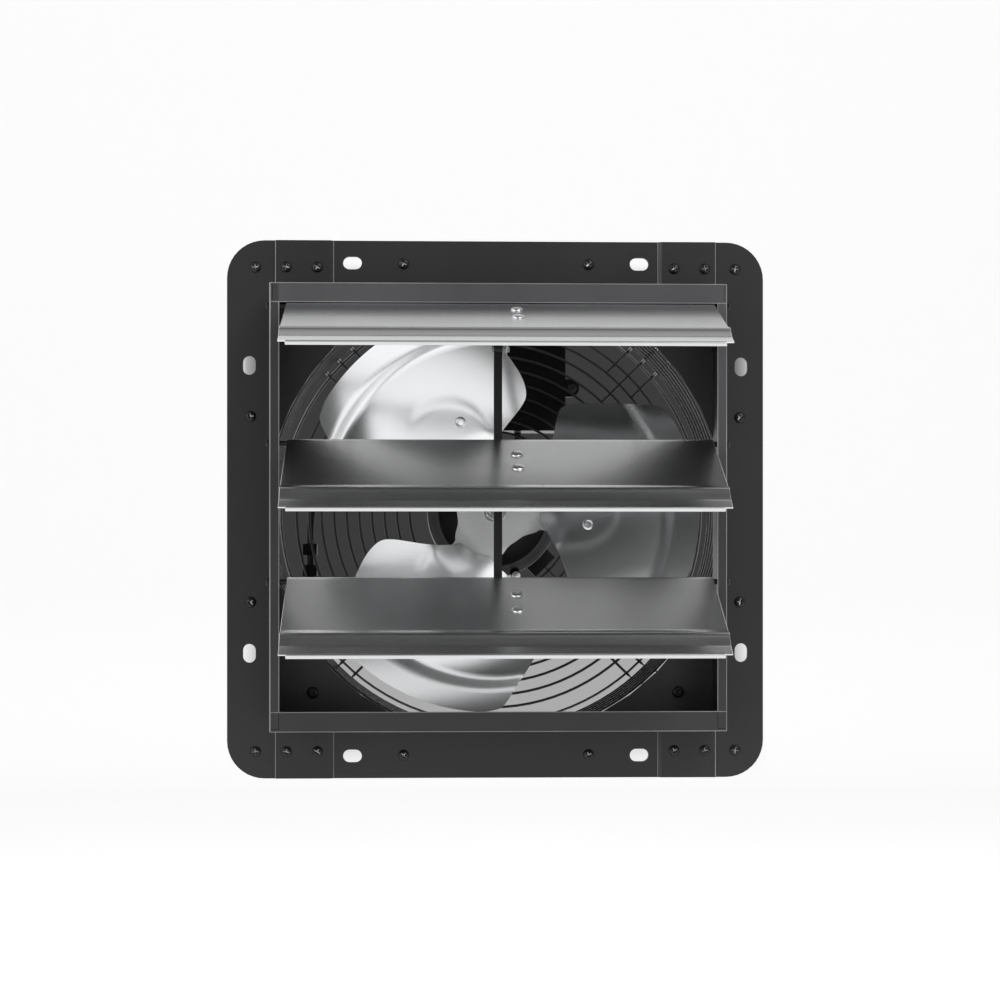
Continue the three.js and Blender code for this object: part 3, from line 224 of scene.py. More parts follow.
# Dark and light tone, roughness, then the rolling direction.
louvre_metal = sheet_metal("louvre_aluminium", (0.66, 0.665, 0.67), (0.72, 0.725, 0.73), 0.25,
                           depth=0.00001, streaks=0.2)
# The louvres' backs: a dark copy of the louvre aluminium that paints the shade under them.
louvre_underside_shade = sheet_metal("louvre_underside_painted_shade", grey(0.13), grey(0.16), 0.42)
hem_metal = sheet_metal("hem_aluminium", (0.60, 0.605, 0.61), (0.68, 0.685, 0.69), 0.34)
blade_metal = sheet_metal("blade_aluminium", (0.76, 0.77, 0.78), (0.86, 0.87, 0.88), 0.22)
spider_metal = sheet_metal("spider_aluminium", (0.74, 0.745, 0.75), (0.82, 0.825, 0.83), 0.34)
bright_steel = sheet_metal("zinc_steel", (0.62, 0.63, 0.64), (0.74, 0.75, 0.76), 0.24, ALONG_Z)
rivet_metal = sheet_metal("rivet_aluminium", (0.84, 0.85, 0.86), (0.92, 0.92, 0.93), 0.28, ALONG_Z)
screw_recess = sheet_metal("screw_recess_steel", grey(0.16), grey(0.30), 0.30, ALONG_Z)

# The first start that fits a node's name gives its material.
LOOKS = {
    "frame_": charcoal, "orifice_plate": black_sheet, "guard_screw": black_steel, "guard": black_wire,
    "motor_housing": motor_paint, "motor_mount": motor_paint, "motor_rear": motor_paint,
    "junction_box": nylon, "cable_gland": nylon, "lead_anchor": nylon, "lead_clip": nylon, "bush_": nylon,
    "supply_lead": rubber, "motor_lead": rubber, "blade_spider": spider_metal, "blade_": blade_metal,
    "hub_": bright_steel, "motor_shaft": bright_steel, "louvre_": louvre_metal, "crank_": bright_steel,
    "pivot_pin": black_steel, "rivet_": bright_steel, "tie_bar": black_steel,
}


def dress(node):
    """Gives a CAD node its material."""
    material = next(look for start, look in LOOKS.items() if node.startswith(start))
    nodes[node].data.materials.clear()
    nodes[node].data.materials.append(material)


for node in nodes:
    dress(node)


# Mesh helpers. From here to the rivets of the louvres, lengths are in millimetres until a piece is made.

# Steps round a turned piece, by its size, and round a wire.
LARGE_STEPS, BROAD_STEPS, ROUND_STEPS, SLIM_STEPS = 128, 96, 64, 48
HEAD_STEPS, SMALL_STEPS, SCREW_STEPS = 40, 32, 24
WIRE_STEPS = 10
BACKWARD, FORWARD = (0, 1, 0), (0, -1, 0)
FAN_CENTRE = (0, 0, 0)


def piece(name, shape, material, body, replaces=(), sharp=32.0):
    """A new mesh piece that rides on a body. Corners sharper than the given degrees stay sharp."""
    mesh = bpy.data.meshes.new(name)
    mesh.from_pydata([(x * MM, y * MM, z * MM) for x, y, z in shape.vertices], [], shape.faces)
    mesh.validate()
    mesh.shade_smooth()
    mesh.set_sharp_from_angle(angle=math.radians(sharp))
    mesh.materials.append(material)
    obj = bpy.data.objects.new(name, mesh)
    bpy.context.scene.collection.objects.link(obj)
    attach(obj, body)
    if replaces:
        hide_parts(*replaces)
    return obj


def polar(radius, y, angle):
    """A point at a radius and an angle about the fan's axis."""
    return (radius * math.cos(angle), y, radius * math.sin(angle))


def outward(angle):
    return Vector((math.cos(angle), 0, math.sin(angle)))


def across(angle):
    return Vector((-math.sin(angle), 0, math.cos(angle)))


class Shape:
    """Collects vertices and faces of one piece."""

    def __init__(self):
        self.vertices = []
        self.faces = []

    def grid(self, rows, closed_rows=False, closed_columns=False, flip=False):
        """Quads over rows of points."""
        start = len(self.vertices)
        columns = len(rows[0])
        for row in rows:
            self.vertices += [tuple(p) for p in row]
        for r in range(len(rows) if closed_rows else len(rows) - 1):
            for c in range(columns if closed_columns else columns - 1):
                a = start + r * columns + c
                b = start + r * columns + (c + 1) % columns
                d = start + ((r + 1) % len(rows)) * columns + c
                e = start + ((r + 1) % len(rows)) * columns + (c + 1) % columns
                self.faces.append((a, d, e, b) if flip else (a, b, e, d))

    def face(self, loop, flip=False):
        """One face over a closed loop of points."""
        start = len(self.vertices)
        self.vertices += [tuple(p) for p in loop]
        corners = tuple(range(start, start + len(loop)))
        self.faces.append(corners[::-1] if flip else corners)

    def tube(self, path, radius, sides=WIRE_STEPS, closed=False):
        """A round rod or wire along a path of points."""
        points = [Vector(p) for p in path]
        count = len(points)
        rows = []
        normal = None
        for i, point in enumerate(points):
            before = points[i - 1] if (closed or i) else point
            after = points[(i + 1) % count] if (closed or i + 1 < count) else point
            along = (after - before).normalized()
            if normal is None:
                normal = along.orthogonal().normalized()
            normal = (normal - along * normal.dot(along)).normalized()
            other = along.cross(normal)
            rows.append([point + radius * (math.cos(t) * normal + math.sin(t) * other)
                         for t in (2 * math.pi * k / sides for k in range(sides))])
        self.grid(rows, closed_rows=closed, closed_columns=True)
        if not closed:
            self.face(rows[0])
            self.face(rows[-1], flip=True)

    def turned(self, profile, place=FAN_CENTRE, axis=BACKWARD, steps=ROUND_STEPS):
        """A profile of (radius, height) points turned about an axis through a place."""
        axis = Vector(axis).normalized()
        side = axis.orthogonal().normalized()
        other = axis.cross(side)
        place = Vector(place)
        rows = []
        for radius, height in profile:
            rows.append([place + axis * height + radius * (math.cos(t) * side + math.sin(t) * other)
                         for t in (2 * math.pi * k / steps for k in range(steps))])
        self.grid(rows, closed_columns=True)


# The most of a side that a rounded corner may take up.
MOST_OF_SIDE = 0.45


def rounded(points, radii, steps):
    """Rounds the corners of a closed outline, each with its own radius. A radius of zero leaves it sharp."""
    result = []
    for i, size in enumerate(radii):
        here = Vector(points[i])
        if not size:
            result.append(tuple(here))
            continue
        to_before = Vector(points[i - 1]) - here
        to_after = Vector(points[(i + 1) % len(points)]) - here
        reach = min(size, MOST_OF_SIDE * to_before.length, MOST_OF_SIDE * to_after.length)
        start = here + to_before.normalized() * reach
        end = here + to_after.normalized() * reach
        for k in range(steps + 1):
            t = k / steps
            result.append(tuple((1 - t) ** 2 * start + 2 * t * (1 - t) * here + t * t * end))
    return result


def smoothstep(low, high, value):
    t = min(max((value - low) / (high - low), 0.0), 1.0)
    return t * t * (3 - 2 * t)


# Louvres

PIVOT_Y = -55.3
# Height of each louvre's pivot, and the degrees by which it stands open.
LOUVRES = {"top": (145.2, 70.7), "middle": (45.9, 63.7), "bottom": (-53.4, 63.7)}
LOUVRE_LEFT, LOUVRE_RIGHT = -152.3, 155.1
LOUVRE_SHEET = 0.9
# The section: places down the sheet from the pivot, and how far each stretch lies forward of the pivot.
KNUCKLE_R, KNUCKLE_TURN, KNUCKLE_STEPS = 3.2, math.radians(290), 28
FACE_N, FACE_STEPS = 3.2, 24
RIB_START, STEP_START, RIB_HEIGHT, RIB_STEPS = 82.0, 91.0, 1.6, 12
MARGIN_START, STEP_N, STEP_BEND_R, STEP_BEND_STEPS = 98.2, 0.6, 1.2, 5
LOUVRE_END, MARGIN_N = 109.0, -0.2
# Distances from the sheet's ends to the sections that end its bevel and hold its shading flat.
END_STATIONS = (0.3, 0.6, 1.2)
# The hem's section: places up the sheet from its lower edge and back from the hem's front, and corner radii.
HEM_OUTLINE = ((2.6, 0.0), (0.0, 0.0), (0.0, 3.0), (0.7, 3.0), (0.75, 1.2), (2.6, 1.0))
HEM_CORNERS, HEM_CORNER_STEPS = (0.1, 1.3, 0.2, 0.2, 0, 0.1), 6
# The point that the hem's bevelled ends shrink towards, its rise over the margin, how much further down it
# reaches than the sheet, and how far it stops short of the louvre's ends.
HEM_MIDDLE, HEM_RISE, HEM_LAP, HEM_FROM_END = (0.6, 1.0), 0.1, 0.8, 5.0
# Sections of the hem's bevelled ends: distance from the end and share of the full size.
HEM_STATIONS = ((0.0, 0.8), (0.3, 1.0), (0.8, 1.0))


def louvre_place(name, x, c, n):
    """A point of an open louvre: c down the sheet from its pivot, n forward of it."""
    pivot_z, angle = LOUVRES[name]
    angle = math.radians(angle)
    y, z = -n, -c
    cos, sin = math.cos(-angle), math.sin(-angle)
    return (x, PIVOT_Y + y * cos - z * sin, pivot_z + y * sin + z * cos)


def louvre_line():
    """Front line of the louvre, from the knuckle's free end to its lower edge."""
    line = []
    for i in range(KNUCKLE_STEPS + 1):
        angle = math.pi / 2 + KNUCKLE_TURN * (1 - i / KNUCKLE_STEPS)
        line.append((KNUCKLE_R * math.cos(angle), KNUCKLE_R * math.sin(angle)))
    line += [(RIB_START * i / FACE_STEPS, FACE_N) for i in range(1, FACE_STEPS)]
    for i in range(RIB_STEPS + 1):
        share = i / RIB_STEPS
        line.append((RIB_START + (STEP_START - RIB_START) * share,
                     FACE_N + RIB_HEIGHT * math.sin(math.pi * share)))
    step = [(STEP_START, FACE_N), (MARGIN_START, STEP_N), (LOUVRE_END - HEM_LAP, MARGIN_N)]
    return line + rounded(step, (0, STEP_BEND_R, 0), STEP_BEND_STEPS)[1:]


def offset_line(line, distance):
    result = []
    for i, (c, n) in enumerate(line):
        before, after = line[max(i - 1, 0)], line[min(i + 1, len(line) - 1)]
        along = Vector((after[0] - before[0], after[1] - before[1])).normalized()
        result.append((c + along.y * distance, n - along.x * distance))
    return result


def add_louvre_sheet(name):
    front = louvre_line()
    middle = offset_line(front, LOUVRE_SHEET / 2)
    full = front + offset_line(front, LOUVRE_SHEET)[::-1]
    slim = [((a[0] + b[0]) / 2, (a[1] + b[1]) / 2) for a, b in zip(full, middle + middle[::-1])]
    stations = [(LOUVRE_LEFT, slim)] + [(LOUVRE_LEFT + inset, full) for inset in END_STATIONS] + [(0, full)]
    stations += [(LOUVRE_RIGHT - inset, full) for inset in END_STATIONS[::-1]] + [(LOUVRE_RIGHT, slim)]
    shape = Shape()
    shape.grid([[louvre_place(name, x, c, n) for c, n in section] for x, section in stations],
               closed_columns=True)
    for x, flip in ((LOUVRE_LEFT, True), (LOUVRE_RIGHT, False)):
        loop = [louvre_place(name, x, c, n) for c, n in slim]
        shape.grid([loop[:len(front)], loop[len(front):][::-1]], flip=flip)
    sheet = piece(f"louvre_sheet_{name}", shape, louvre_metal, f"{name}_louvre",
                  replaces=(f"louvre_{name}",))
    # Faces on the sheet's back take the dark copy: painted shade.
    sheet.data.materials.append(louvre_underside_shade)
    for polygon in sheet.data.polygons:
        column = polygon.index % len(full)
        if polygon.index < (len(stations) - 1) * len(full) and column >= len(front):
            polygon.material_index = 1


def add_louvre_hem(name):
    top = MARGIN_N + HEM_RISE
    corners = [(LOUVRE_END - up, top - back) for up, back in HEM_OUTLINE]
    outline = rounded(corners, HEM_CORNERS, HEM_CORNER_STEPS)
    middle_c, middle_n = LOUVRE_END - HEM_MIDDLE[0], top - HEM_MIDDLE[1]
    low, high = LOUVRE_LEFT + HEM_FROM_END, LOUVRE_RIGHT - HEM_FROM_END
    stations = [(low + inset, share) for inset, share in HEM_STATIONS]
    stations += [(high - inset, share) for inset, share in HEM_STATIONS[::-1]]
    rows = [[louvre_place(name, x, middle_c + (c - middle_c) * share, middle_n + (n - middle_n) * share)
             for c, n in outline] for x, share in stations]
    hem = Shape()
    hem.grid(rows, closed_columns=True)
    hem.face(rows[0], flip=True)
    hem.face(rows[-1])
    piece(f"louvre_hem_{name}", hem, hem_metal, f"{name}_louvre")


for name in LOUVRES:
    add_louvre_sheet(name)
    add_louvre_hem(name)


# Fan blades

TIP_R, CREASE_R = 154.0, 132.0
BLADE_SHEET = 1.2
BLADE_TURNS = (120.0, 240.0, 0.0)
# The blade's edges: share of the tip's radius, and degrees from the blade's own line.
TRAILING = ((0.23, -16), (0.33, -29), (0.45, -40), (0.556, -45), (0.63, -43), (0.75, -35), (0.88, -26.5),
            (0.95, -22.5), (0.985, -20), (1, -16))
LEADING = ((0.23, 24), (0.33, 42), (0.45, 50), (0.556, 55.5), (0.63, 56.5), (0.75, 46.5), (0.88, 37.5),
           (0.95, 34), (0.985, 31.5), (1, 27))
# Shares of the tip's radius at which the sheet and its finer rows begin, and numbers of rows and columns.
ROOT_SHARE, FINE_SHARE = 0.23, 0.93
BLADE_ROWS, FINE_ROWS, BLADE_COLUMNS = 34, 14, 44
# The sheet's form: its middle's depth, where the pitch sets in and is full, its slope, the line that it turns
# about, the camber's height and the slope of the tip beyond the crease.
FAN_Y = 28.0
PITCH_START_R, PITCH_FULL_R, PITCH, PITCH_LINE = 28.0, 60.0, 0.27, math.radians(6)
CAMBER, TIP_SLOPE = 5.0, 0.16
# Pressed forms: the joggle along the crease, and the seat before the spider's arm, its end and half width.
JOGGLE, JOGGLE_HALF = 2.6, 4.0
SEAT_RISE, SEAT_END, SEAT_HALF, SEAT_FADE = 1.0, 62.0, 29.0, 7.0
# Degrees from the blade's own line to the middle of the spider's arm.
ARM_LINE = 5


def edge_angle(edge, share):
    """Degrees to a blade's edge at a share of the tip's radius, on a smooth curve through the table."""
    i = next((i for i in range(len(edge) - 1) if share <= edge[i + 1][0]), len(edge) - 2)
    (x0, y0), (x1, y1) = edge[i], edge[i + 1]
    before, after = edge[max(i - 1, 0)], edge[min(i + 2, len(edge) - 1)]
    m0 = (y1 - before[1]) / (x1 - before[0])
    m1 = (after[1] - y0) / (after[0] - x0)
    h = x1 - x0
    t = min(max((share - x0) / h, 0.0), 1.0)
    return ((2 * t ** 3 - 3 * t * t + 1) * y0 + (t ** 3 - 2 * t * t + t) * h * m0
            + (3 * t * t - 2 * t ** 3) * y1 + (t ** 3 - t * t) * h * m1)


def fan_surface(radius, angle):
    """Depth of the blades' sheet at a radius and an angle from the blade's own line."""
    slope = PITCH * smoothstep(PITCH_START_R, PITCH_FULL_R, radius)
    run = radius * math.sin(angle - PITCH_LINE)
    bow = CAMBER * smoothstep(PITCH_START_R, CREASE_R, radius) * (1 - (run / (CREASE_R / 2)) ** 2)
    crease = TIP_SLOPE * max(radius - CREASE_R, 0.0)
    return FAN_Y + slope * run - bow - crease


def blade_relief(radius, angle):
    """How far the pressed forms stand forward of the sheet."""
    joggle = JOGGLE * smoothstep(CREASE_R - JOGGLE_HALF, CREASE_R + JOGGLE_HALF, radius)
    off = angle - math.radians(ARM_LINE)
    past_end = max(radius * math.cos(off) - SEAT_END, 0.0)
    distance = math.hypot(past_end, radius * math.sin(off))
    return joggle + SEAT_RISE * (1.0 - smoothstep(SEAT_HALF, SEAT_HALF + SEAT_FADE, distance))


def outer_edge(rows):
    """The loop round a grid: up its first column, along its last row, down its last column and back."""
    return ([row[0] for row in rows] + rows[-1][1:-1]
            + [row[-1] for row in rows[::-1]] + rows[0][-2:0:-1])


def add_blade(number, turn):
    shares = [ROOT_SHARE + (FINE_SHARE - ROOT_SHARE) * i / BLADE_ROWS for i in range(BLADE_ROWS + 1)]
    shares += [FINE_SHARE + (1 - FINE_SHARE) * i / FINE_ROWS for i in range(1, FINE_ROWS + 1)]
    front, back = [], []
    for share in shares:
        low, high = edge_angle(TRAILING, share), edge_angle(LEADING, share)
        radius = share * TIP_R
        angles = [math.radians(low + (high - low) * k / BLADE_COLUMNS) for k in range(BLADE_COLUMNS + 1)]
        depths = [fan_surface(radius, angle) - blade_relief(radius, angle) for angle in angles]
        places = [math.radians(turn) + angle for angle in angles]
        front.append([polar(radius, y, place) for y, place in zip(depths, places)])
        back.append([polar(radius, y + BLADE_SHEET, place) for y, place in zip(depths, places)])
    shape = Shape()
    shape.grid(front)
    shape.grid(back, flip=True)
    shape.grid([outer_edge(front), outer_edge(back)], closed_columns=True)
    piece(f"blade_sheet_{number}", shape, blade_metal, "fan",
          replaces=(f"blade_{number}",))


for number, turn in enumerate(BLADE_TURNS, 1):
    add_blade(number, turn)


# Spider

# The spider's front lies this far behind the blades' sheet, as in the CAD model.
SPIDER_GAP = 1.4
SPIDER_DEPTH = BLADE_SHEET + SPIDER_GAP
SPIDER_SHEET, SPIDER_BORE_R, SPIDER_SHARP = 2.0, 5.3, 40.0
SPIDER_R, ARM_LENGTH = 28.5, 61.5
# The arm's side rises in two smooth steps: share of the arm's length, and where on the lobe the step lies.
ARM_RISES = ((0.15, -1.0, 0.3), (0.85, 0.1, 0.65))
SPIDER_COLUMNS, SPIDER_ROWS = 360, 30
ARM_TURN = 120


def spider_reach(degrees):
    """Radius of the spider's outline at an angle from a blade's own line."""
    lobe = math.cos(3 * math.radians(degrees - ARM_LINE))
    return SPIDER_R + ARM_LENGTH * sum(part * smoothstep(low, high, lobe) for part, low, high in ARM_RISES)


def add_spider():
    front, back = [], []
    for i in range(SPIDER_ROWS + 1):
        front_row, back_row = [], []
        for k in range(SPIDER_COLUMNS):
            degrees = k * 360 / SPIDER_COLUMNS
            near = (degrees - ARM_LINE + ARM_TURN / 2) % ARM_TURN - ARM_TURN / 2 + ARM_LINE
            radius = SPIDER_BORE_R + (spider_reach(near) - SPIDER_BORE_R) * i / SPIDER_ROWS
            y = fan_surface(radius, math.radians(near)) + SPIDER_DEPTH
            front_row.append(polar(radius, y, math.radians(degrees)))
            back_row.append(polar(radius, y + SPIDER_SHEET, math.radians(degrees)))
        front.append(front_row)
        back.append(back_row)
    shape = Shape()
    shape.grid(front, closed_columns=True, flip=True)
    shape.grid(back, closed_columns=True)
    shape.grid([front[0], back[0]], closed_columns=True)
    shape.grid([front[-1], back[-1]], closed_columns=True, flip=True)
    piece("spider_sheet", shape, spider_metal, "fan", replaces=("blade_spider",),
          sharp=SPIDER_SHARP)


add_spider()


# Wire guard

# Each layer of wires lies one step outside the last: side rings, long wires, front ring.
GUARD_R, WIRE_R, LAYER = 171.0, 1.1, 1.6
LONG_R = GUARD_R + LAYER
FRONT_RING_R, FRONT_RING_Y = LONG_R + LAYER, 1.4
SIDE_RINGS, SIDE_RING_STEP = 6, 13.5
REAR_RINGS, REAR_RING_R, REAR_RING_STEP = 10, 65.0, 10.0
RADIAL_Y, BEND_R = 105.7, 15.0
BEND_CENTRE_R, BEND_CENTRE_Y = LONG_R - BEND_R, RADIAL_Y - BEND_R
# On each diagonal: the middle wire's inner end, the distance to its neighbours, and how far they run inward.
MIDDLE_WIRE_END, FLANK_OFFSET, FLANK_RUN = 44.5, 14, 12
RING_STEPS, RUN_STEPS, BEND_STEPS, RADIAL_STEPS = 96, 6, 8, 5
# The point of a long wire at which its rear stretch, in the darker copy of the coat that paints shade,
# begins.
REAR_STRETCH = 9
QUARTERS = [math.pi / 4 + quarter * math.pi / 2 for quarter in range(4)]
# Degrees up to which the wires' faces are shaded as one round form.
WIRE_SHARP = 60.0
# A foot: centre and half width of its round end, and its sections as depth and inset of the rim.
FOOT_END_R, FOOT_HALF, FOOT_STEPS = 193.0, 7.0, 10
FOOT_SECTIONS = ((0.3, 0.3), (0.6, 0.0), (2.0, 0.0), (2.3, 0.3))


def ring_points(radius, y):
    return [polar(radius, y, 2 * math.pi * k / RING_STEPS) for k in range(RING_STEPS)]


def long_wire_path(angle, sideways, inner_r):
    """A wire that runs back along the guard's side, bends inward and ends at a radius."""
    inset = LONG_R - math.sqrt(LONG_R ** 2 - sideways ** 2)

    def place(r, y):
        return outward(angle) * (r - inset) + across(angle) * sideways + Vector((0, y, 0))

    path = [place(LONG_R, FRONT_RING_Y + (BEND_CENTRE_Y - FRONT_RING_Y) * k / RUN_STEPS)
            for k in range(RUN_STEPS + 1)]
    for k in range(1, BEND_STEPS + 1):
        t = math.pi / 2 * k / BEND_STEPS
        path.append(place(BEND_CENTRE_R + BEND_R * math.cos(t), BEND_CENTRE_Y + BEND_R * math.sin(t)))
    path += [place(BEND_CENTRE_R + (inner_r - BEND_CENTRE_R) * k / RADIAL_STEPS, RADIAL_Y)
             for k in range(1, RADIAL_STEPS + 1)]
    return path


def add_guard_wires():
    rings = Shape()
    rings.tube(ring_points(FRONT_RING_R, FRONT_RING_Y), WIRE_R, closed=True)
    for i in range(1, SIDE_RINGS + 1):
        rings.tube(ring_points(GUARD_R, FRONT_RING_Y + SIDE_RING_STEP * i), WIRE_R, closed=True)
    reach = (BEND_R - LAYER) * math.sqrt(0.5)
    rings.tube(ring_points(BEND_CENTRE_R + reach, BEND_CENTRE_Y + reach), WIRE_R, closed=True)
    rear = Shape()
    for i in range(REAR_RINGS):
        rear.tube(ring_points(REAR_RING_R + REAR_RING_STEP * i, RADIAL_Y - LAYER), WIRE_R, closed=True)
    flank = Shape()
    flank_end = BEND_CENTRE_R - FLANK_RUN
    for angle in QUARTERS:
        for side, end in ((0, MIDDLE_WIRE_END), (-FLANK_OFFSET, flank_end), (FLANK_OFFSET, flank_end)):
            path = long_wire_path(angle, side, end)
            flank.tube(path[:REAR_STRETCH + 1], WIRE_R)
            rear.tube(path[REAR_STRETCH:], WIRE_R)
    # Rear wires take the copy of the coat that paints shade, the long wires' front stretches the one that
    # paints glints.
    piece("guard_rear_wires", rear, wire_painted_shade, "housing", sharp=WIRE_SHARP)
    piece("guard_flank_wires", flank, wire_painted_glint, "housing", sharp=WIRE_SHARP)
    piece("guard_wires", rings, black_wire, "housing", replaces=("guard",), sharp=WIRE_SHARP)


def add_guard_feet():
    inner = FRONT_RING_R - WIRE_R
    outline = [(inner, -FOOT_HALF)]
    for k in range(FOOT_STEPS + 1):
        t = math.pi * k / FOOT_STEPS
        outline.append((FOOT_END_R + FOOT_HALF * math.sin(t), -FOOT_HALF * math.cos(t)))
    outline.append((inner, FOOT_HALF))
    feet = Shape()
    for angle in QUARTERS:
        rows = [[outward(angle) * (r - inset * (r > inner)) + across(angle) * (w * (1 - inset / FOOT_HALF))
                 + Vector((0, y, 0)) for r, w in outline] for y, inset in FOOT_SECTIONS]
        feet.grid(rows, closed_columns=True)
        feet.face(rows[0])
        feet.face(rows[-1], flip=True)
    piece("guard_feet", feet, black_wire, "housing")


add_guard_wires()
add_guard_feet()


# Painted highlights along the frame's edges

BOX_X, BOX_Z, BOX_FRONT = 164.0, 160.75, -61.3
TOP_LIP, BOTTOM_LIP, SIDE_RETURN = 13.5, 13.9, 6.3
# Front of the flange's lapped ends and of its plain stretches, the side where the laps end, and its rim.
LAP_FRONT, PLAIN_FRONT, LAP_END_X, FLANGE_RIM = -5.1, -3.3, 121.0, 199.5
EDGE_R, LEFT_EDGE_R, EDGE_SIDES, EDGE_STEPS = 0.3, 0.55, 8, 8
EDGE_FROM_BOX = 1


def add_painted_edge_highlights():
    """Slim rolled beads along the sheet's folds and cut edges, in a pale coat that paints highlights there.
    """
    inner = BOX_X - SIDE_RETURN
    top, bottom = BOX_Z - TOP_LIP, -BOX_Z + BOTTOM_LIP
    lines = []
    for side in (-1, 1):
        radius = LEFT_EDGE_R if side < 0 else EDGE_R
        lines.append(((side * BOX_X, BOX_FRONT, -BOX_Z), (side * BOX_X, BOX_FRONT, BOX_Z), radius))
        lines.append(((side * inner, BOX_FRONT, bottom), (side * inner, BOX_FRONT, top), EDGE_R))
        for end in (-1, 1):
            for x, y in ((BOX_X, LAP_FRONT), (LAP_END_X, PLAIN_FRONT)):
                start = (side * x, y, end * (BOX_Z + EDGE_FROM_BOX))
                lines.append((start, (side * x, y, end * FLANGE_RIM), EDGE_R))
    for z in (BOX_Z, top, bottom, -BOX_Z):
        lines.append(((-BOX_X, BOX_FRONT, z), (BOX_X, BOX_FRONT, z), EDGE_R))
    shape = Shape()
    for start, finish, radius in lines:
        path = [Vector(start).lerp(Vector(finish), k / EDGE_STEPS) for k in range(EDGE_STEPS + 1)]
        shape.tube(path, radius, sides=EDGE_SIDES)
    piece("frame_painted_edge_highlights", shape, painted_edge_highlight, "housing")


add_painted_edge_highlights()


# Screws of the wall frame

# Places from the middle, the same in all four corners.
SCREW_PLACES = ((179, 180), (156, 180), (133, 180), (69, 183), (182.5, 69))
# The head as radii and places forward of its seat, down into the recess.
SCREW_HEAD = ((4.0, 0.0), (4.0, 0.5), (3.7, 1.0), (3.1, 1.45), (2.4, 1.7), (1.9, 1.8), (1.55, 1.25),
              (0.9, 0.7), (0.0, 0.6))
# One of the four wings of a cross recess: places along the wing, across it and forward of the screw's seat.
SCREW_WING = ((0.0, 0.0, 1.25), (0.5, 0.45, 1.0), (2.3, 0.3, 1.9), (2.3, -0.3, 1.9), (0.5, -0.45, 1.0))
# Degrees of turn per millimetre across and up, so that each recess stands at its own angle, as screws do.
RECESS_TURNS = (7, 3)


def screw_seat(x, z):
    """The plane that a screw's head stands on: the lapped ends of the level members lie further forward."""
    return LAP_FRONT if abs(z) > BOX_Z and LAP_END_X < abs(x) < BOX_X else PLAIN_FRONT


def add_recess(shape, place, turn, wing):
    """A cross recess in a screw's head, turned by some degrees."""
    for quarter in range(4):
        angle = math.radians(turn) + quarter * math.pi / 2
        ways = (outward(angle), across(angle), Vector(FORWARD))
        shape.face([Vector(place) + ways[0] * along + ways[1] * sideways + ways[2] * forward
                    for along, sideways, forward in wing])


def add_frame_screws():
    heads, recesses = Shape(), Shape()
    for across_x, up_z in SCREW_PLACES:
        for x, z in ((across_x * sx, up_z * sz) for sx in (-1, 1) for sz in (-1, 1)):
            seat = (x, screw_seat(x, z), z)
            heads.turned(SCREW_HEAD, seat, FORWARD, SCREW_STEPS)
            add_recess(recesses, seat, (x * RECESS_TURNS[0] + z * RECESS_TURNS[1]) % 90, SCREW_WING)
    piece("frame_screw_heads", heads, screw_metal, "housing")
    piece("frame_screw_recesses", recesses, screw_recess, "housing")


add_frame_screws()


# Screws of the guard's feet

SHANK_R, HEAD_BACK, HEAD_RIM_FRONT = 2, -1.7, -2.2
# The head's crown: shares of its radius, and how far behind the head's front the first of them lies.
CROWN_SHARES, CROWN_DROP = (0.86, 0.6), 0.5
SOCKET_R, SOCKET_FLOOR_R, SOCKET_FLOOR, SOCKET_MIDDLE = 1.7, 1.2, 0.7, 0.8
# One wing of the recess, as in SCREW_WING, with places forward of the head's front.
GUARD_SCREW_WING = ((0.8, -0.5, -0.6), (2.4, -0.5, 0.04), (2.4, 0.5, 0.04), (0.8, 0.5, -0.6))
# Each screw is turned by so many degrees more than the last.
GUARD_SCREW_TURN = 31


def add_guard_screws():
    heads, recesses = Shape(), Shape()
    names = [f"guard_screw_{i}" for i in range(1, 5)]
    for i, name in enumerate(names, 1):
        low, high = ([side / MM for side in corner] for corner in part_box(name))
        x, z = (low[0] + high[0]) / 2, (low[2] + high[2]) / 2
        radius, front, back = (high[0] - low[0]) / 2, low[1], high[1]
        shank = [(0, back), (SHANK_R, back), (SHANK_R, HEAD_BACK)]
        crown = [(radius, HEAD_BACK), (radius, HEAD_RIM_FRONT),
                 (radius * CROWN_SHARES[0], front + CROWN_DROP), (radius * CROWN_SHARES[1], front)]
        socket = [(SOCKET_R, front), (SOCKET_FLOOR_R, front + SOCKET_FLOOR), (0, front + SOCKET_MIDDLE)]
        heads.turned(shank + crown + socket, (x, 0, z), steps=HEAD_STEPS)
        add_recess(recesses, (x, front, z), GUARD_SCREW_TURN * i, GUARD_SCREW_WING)
    piece("guard_screw_heads", heads, screw_metal, "housing", replaces=names)
    piece("guard_screw_recesses", recesses, black_steel, "housing")


add_guard_screws()


# Blade rivets

BLADE_RIVETS = ((71.5, -8.5), (61.0, 8.5))
BLADE_RIVET = ((4.3, -0.1), (4.3, 0.5), (3.9, 0.9), (3.0, 1.15), (2.6, 0.9), (2.2, 0.3), (0.0, 0.15))


def add_blade_rivets():
    shape = Shape()
    for turn in BLADE_TURNS:
        for radius, degrees in BLADE_RIVETS:
            angle = math.radians(degrees)
            place = math.radians(turn) + angle
            y = fan_surface(radius, angle) - blade_relief(radius, angle)
            downhill = across(place) + Vector((0, PITCH, 0))
            axis = outward(place).cross(downhill.normalized()).normalized()
            if axis.y > 0:
                axis = -axis
            shape.turned(BLADE_RIVET, polar(radius, y, place), axis, SMALL_STEPS)
    piece("blade_rivets", shape, rivet_metal, "fan")


add_blade_rivets()


# Hub

GAP = 0.3
HUB_FRONT = FAN_Y + SPIDER_DEPTH
# The washer stands in front of the spider and the nut in front of the washer.
WASHER, THREAD_R, WASHER_R, WASHER_EDGE = 1.6, 5.4, 9.0, 0.4
NUT, NUT_HALF, NUT_TURN, NUT_COLUMNS = 6.0, 6.24, 12, 72
WASHER_BACK = HUB_FRONT - GAP
WASHER_FRONT = WASHER_BACK - WASHER
NUT_FRONT = WASHER_FRONT - NUT
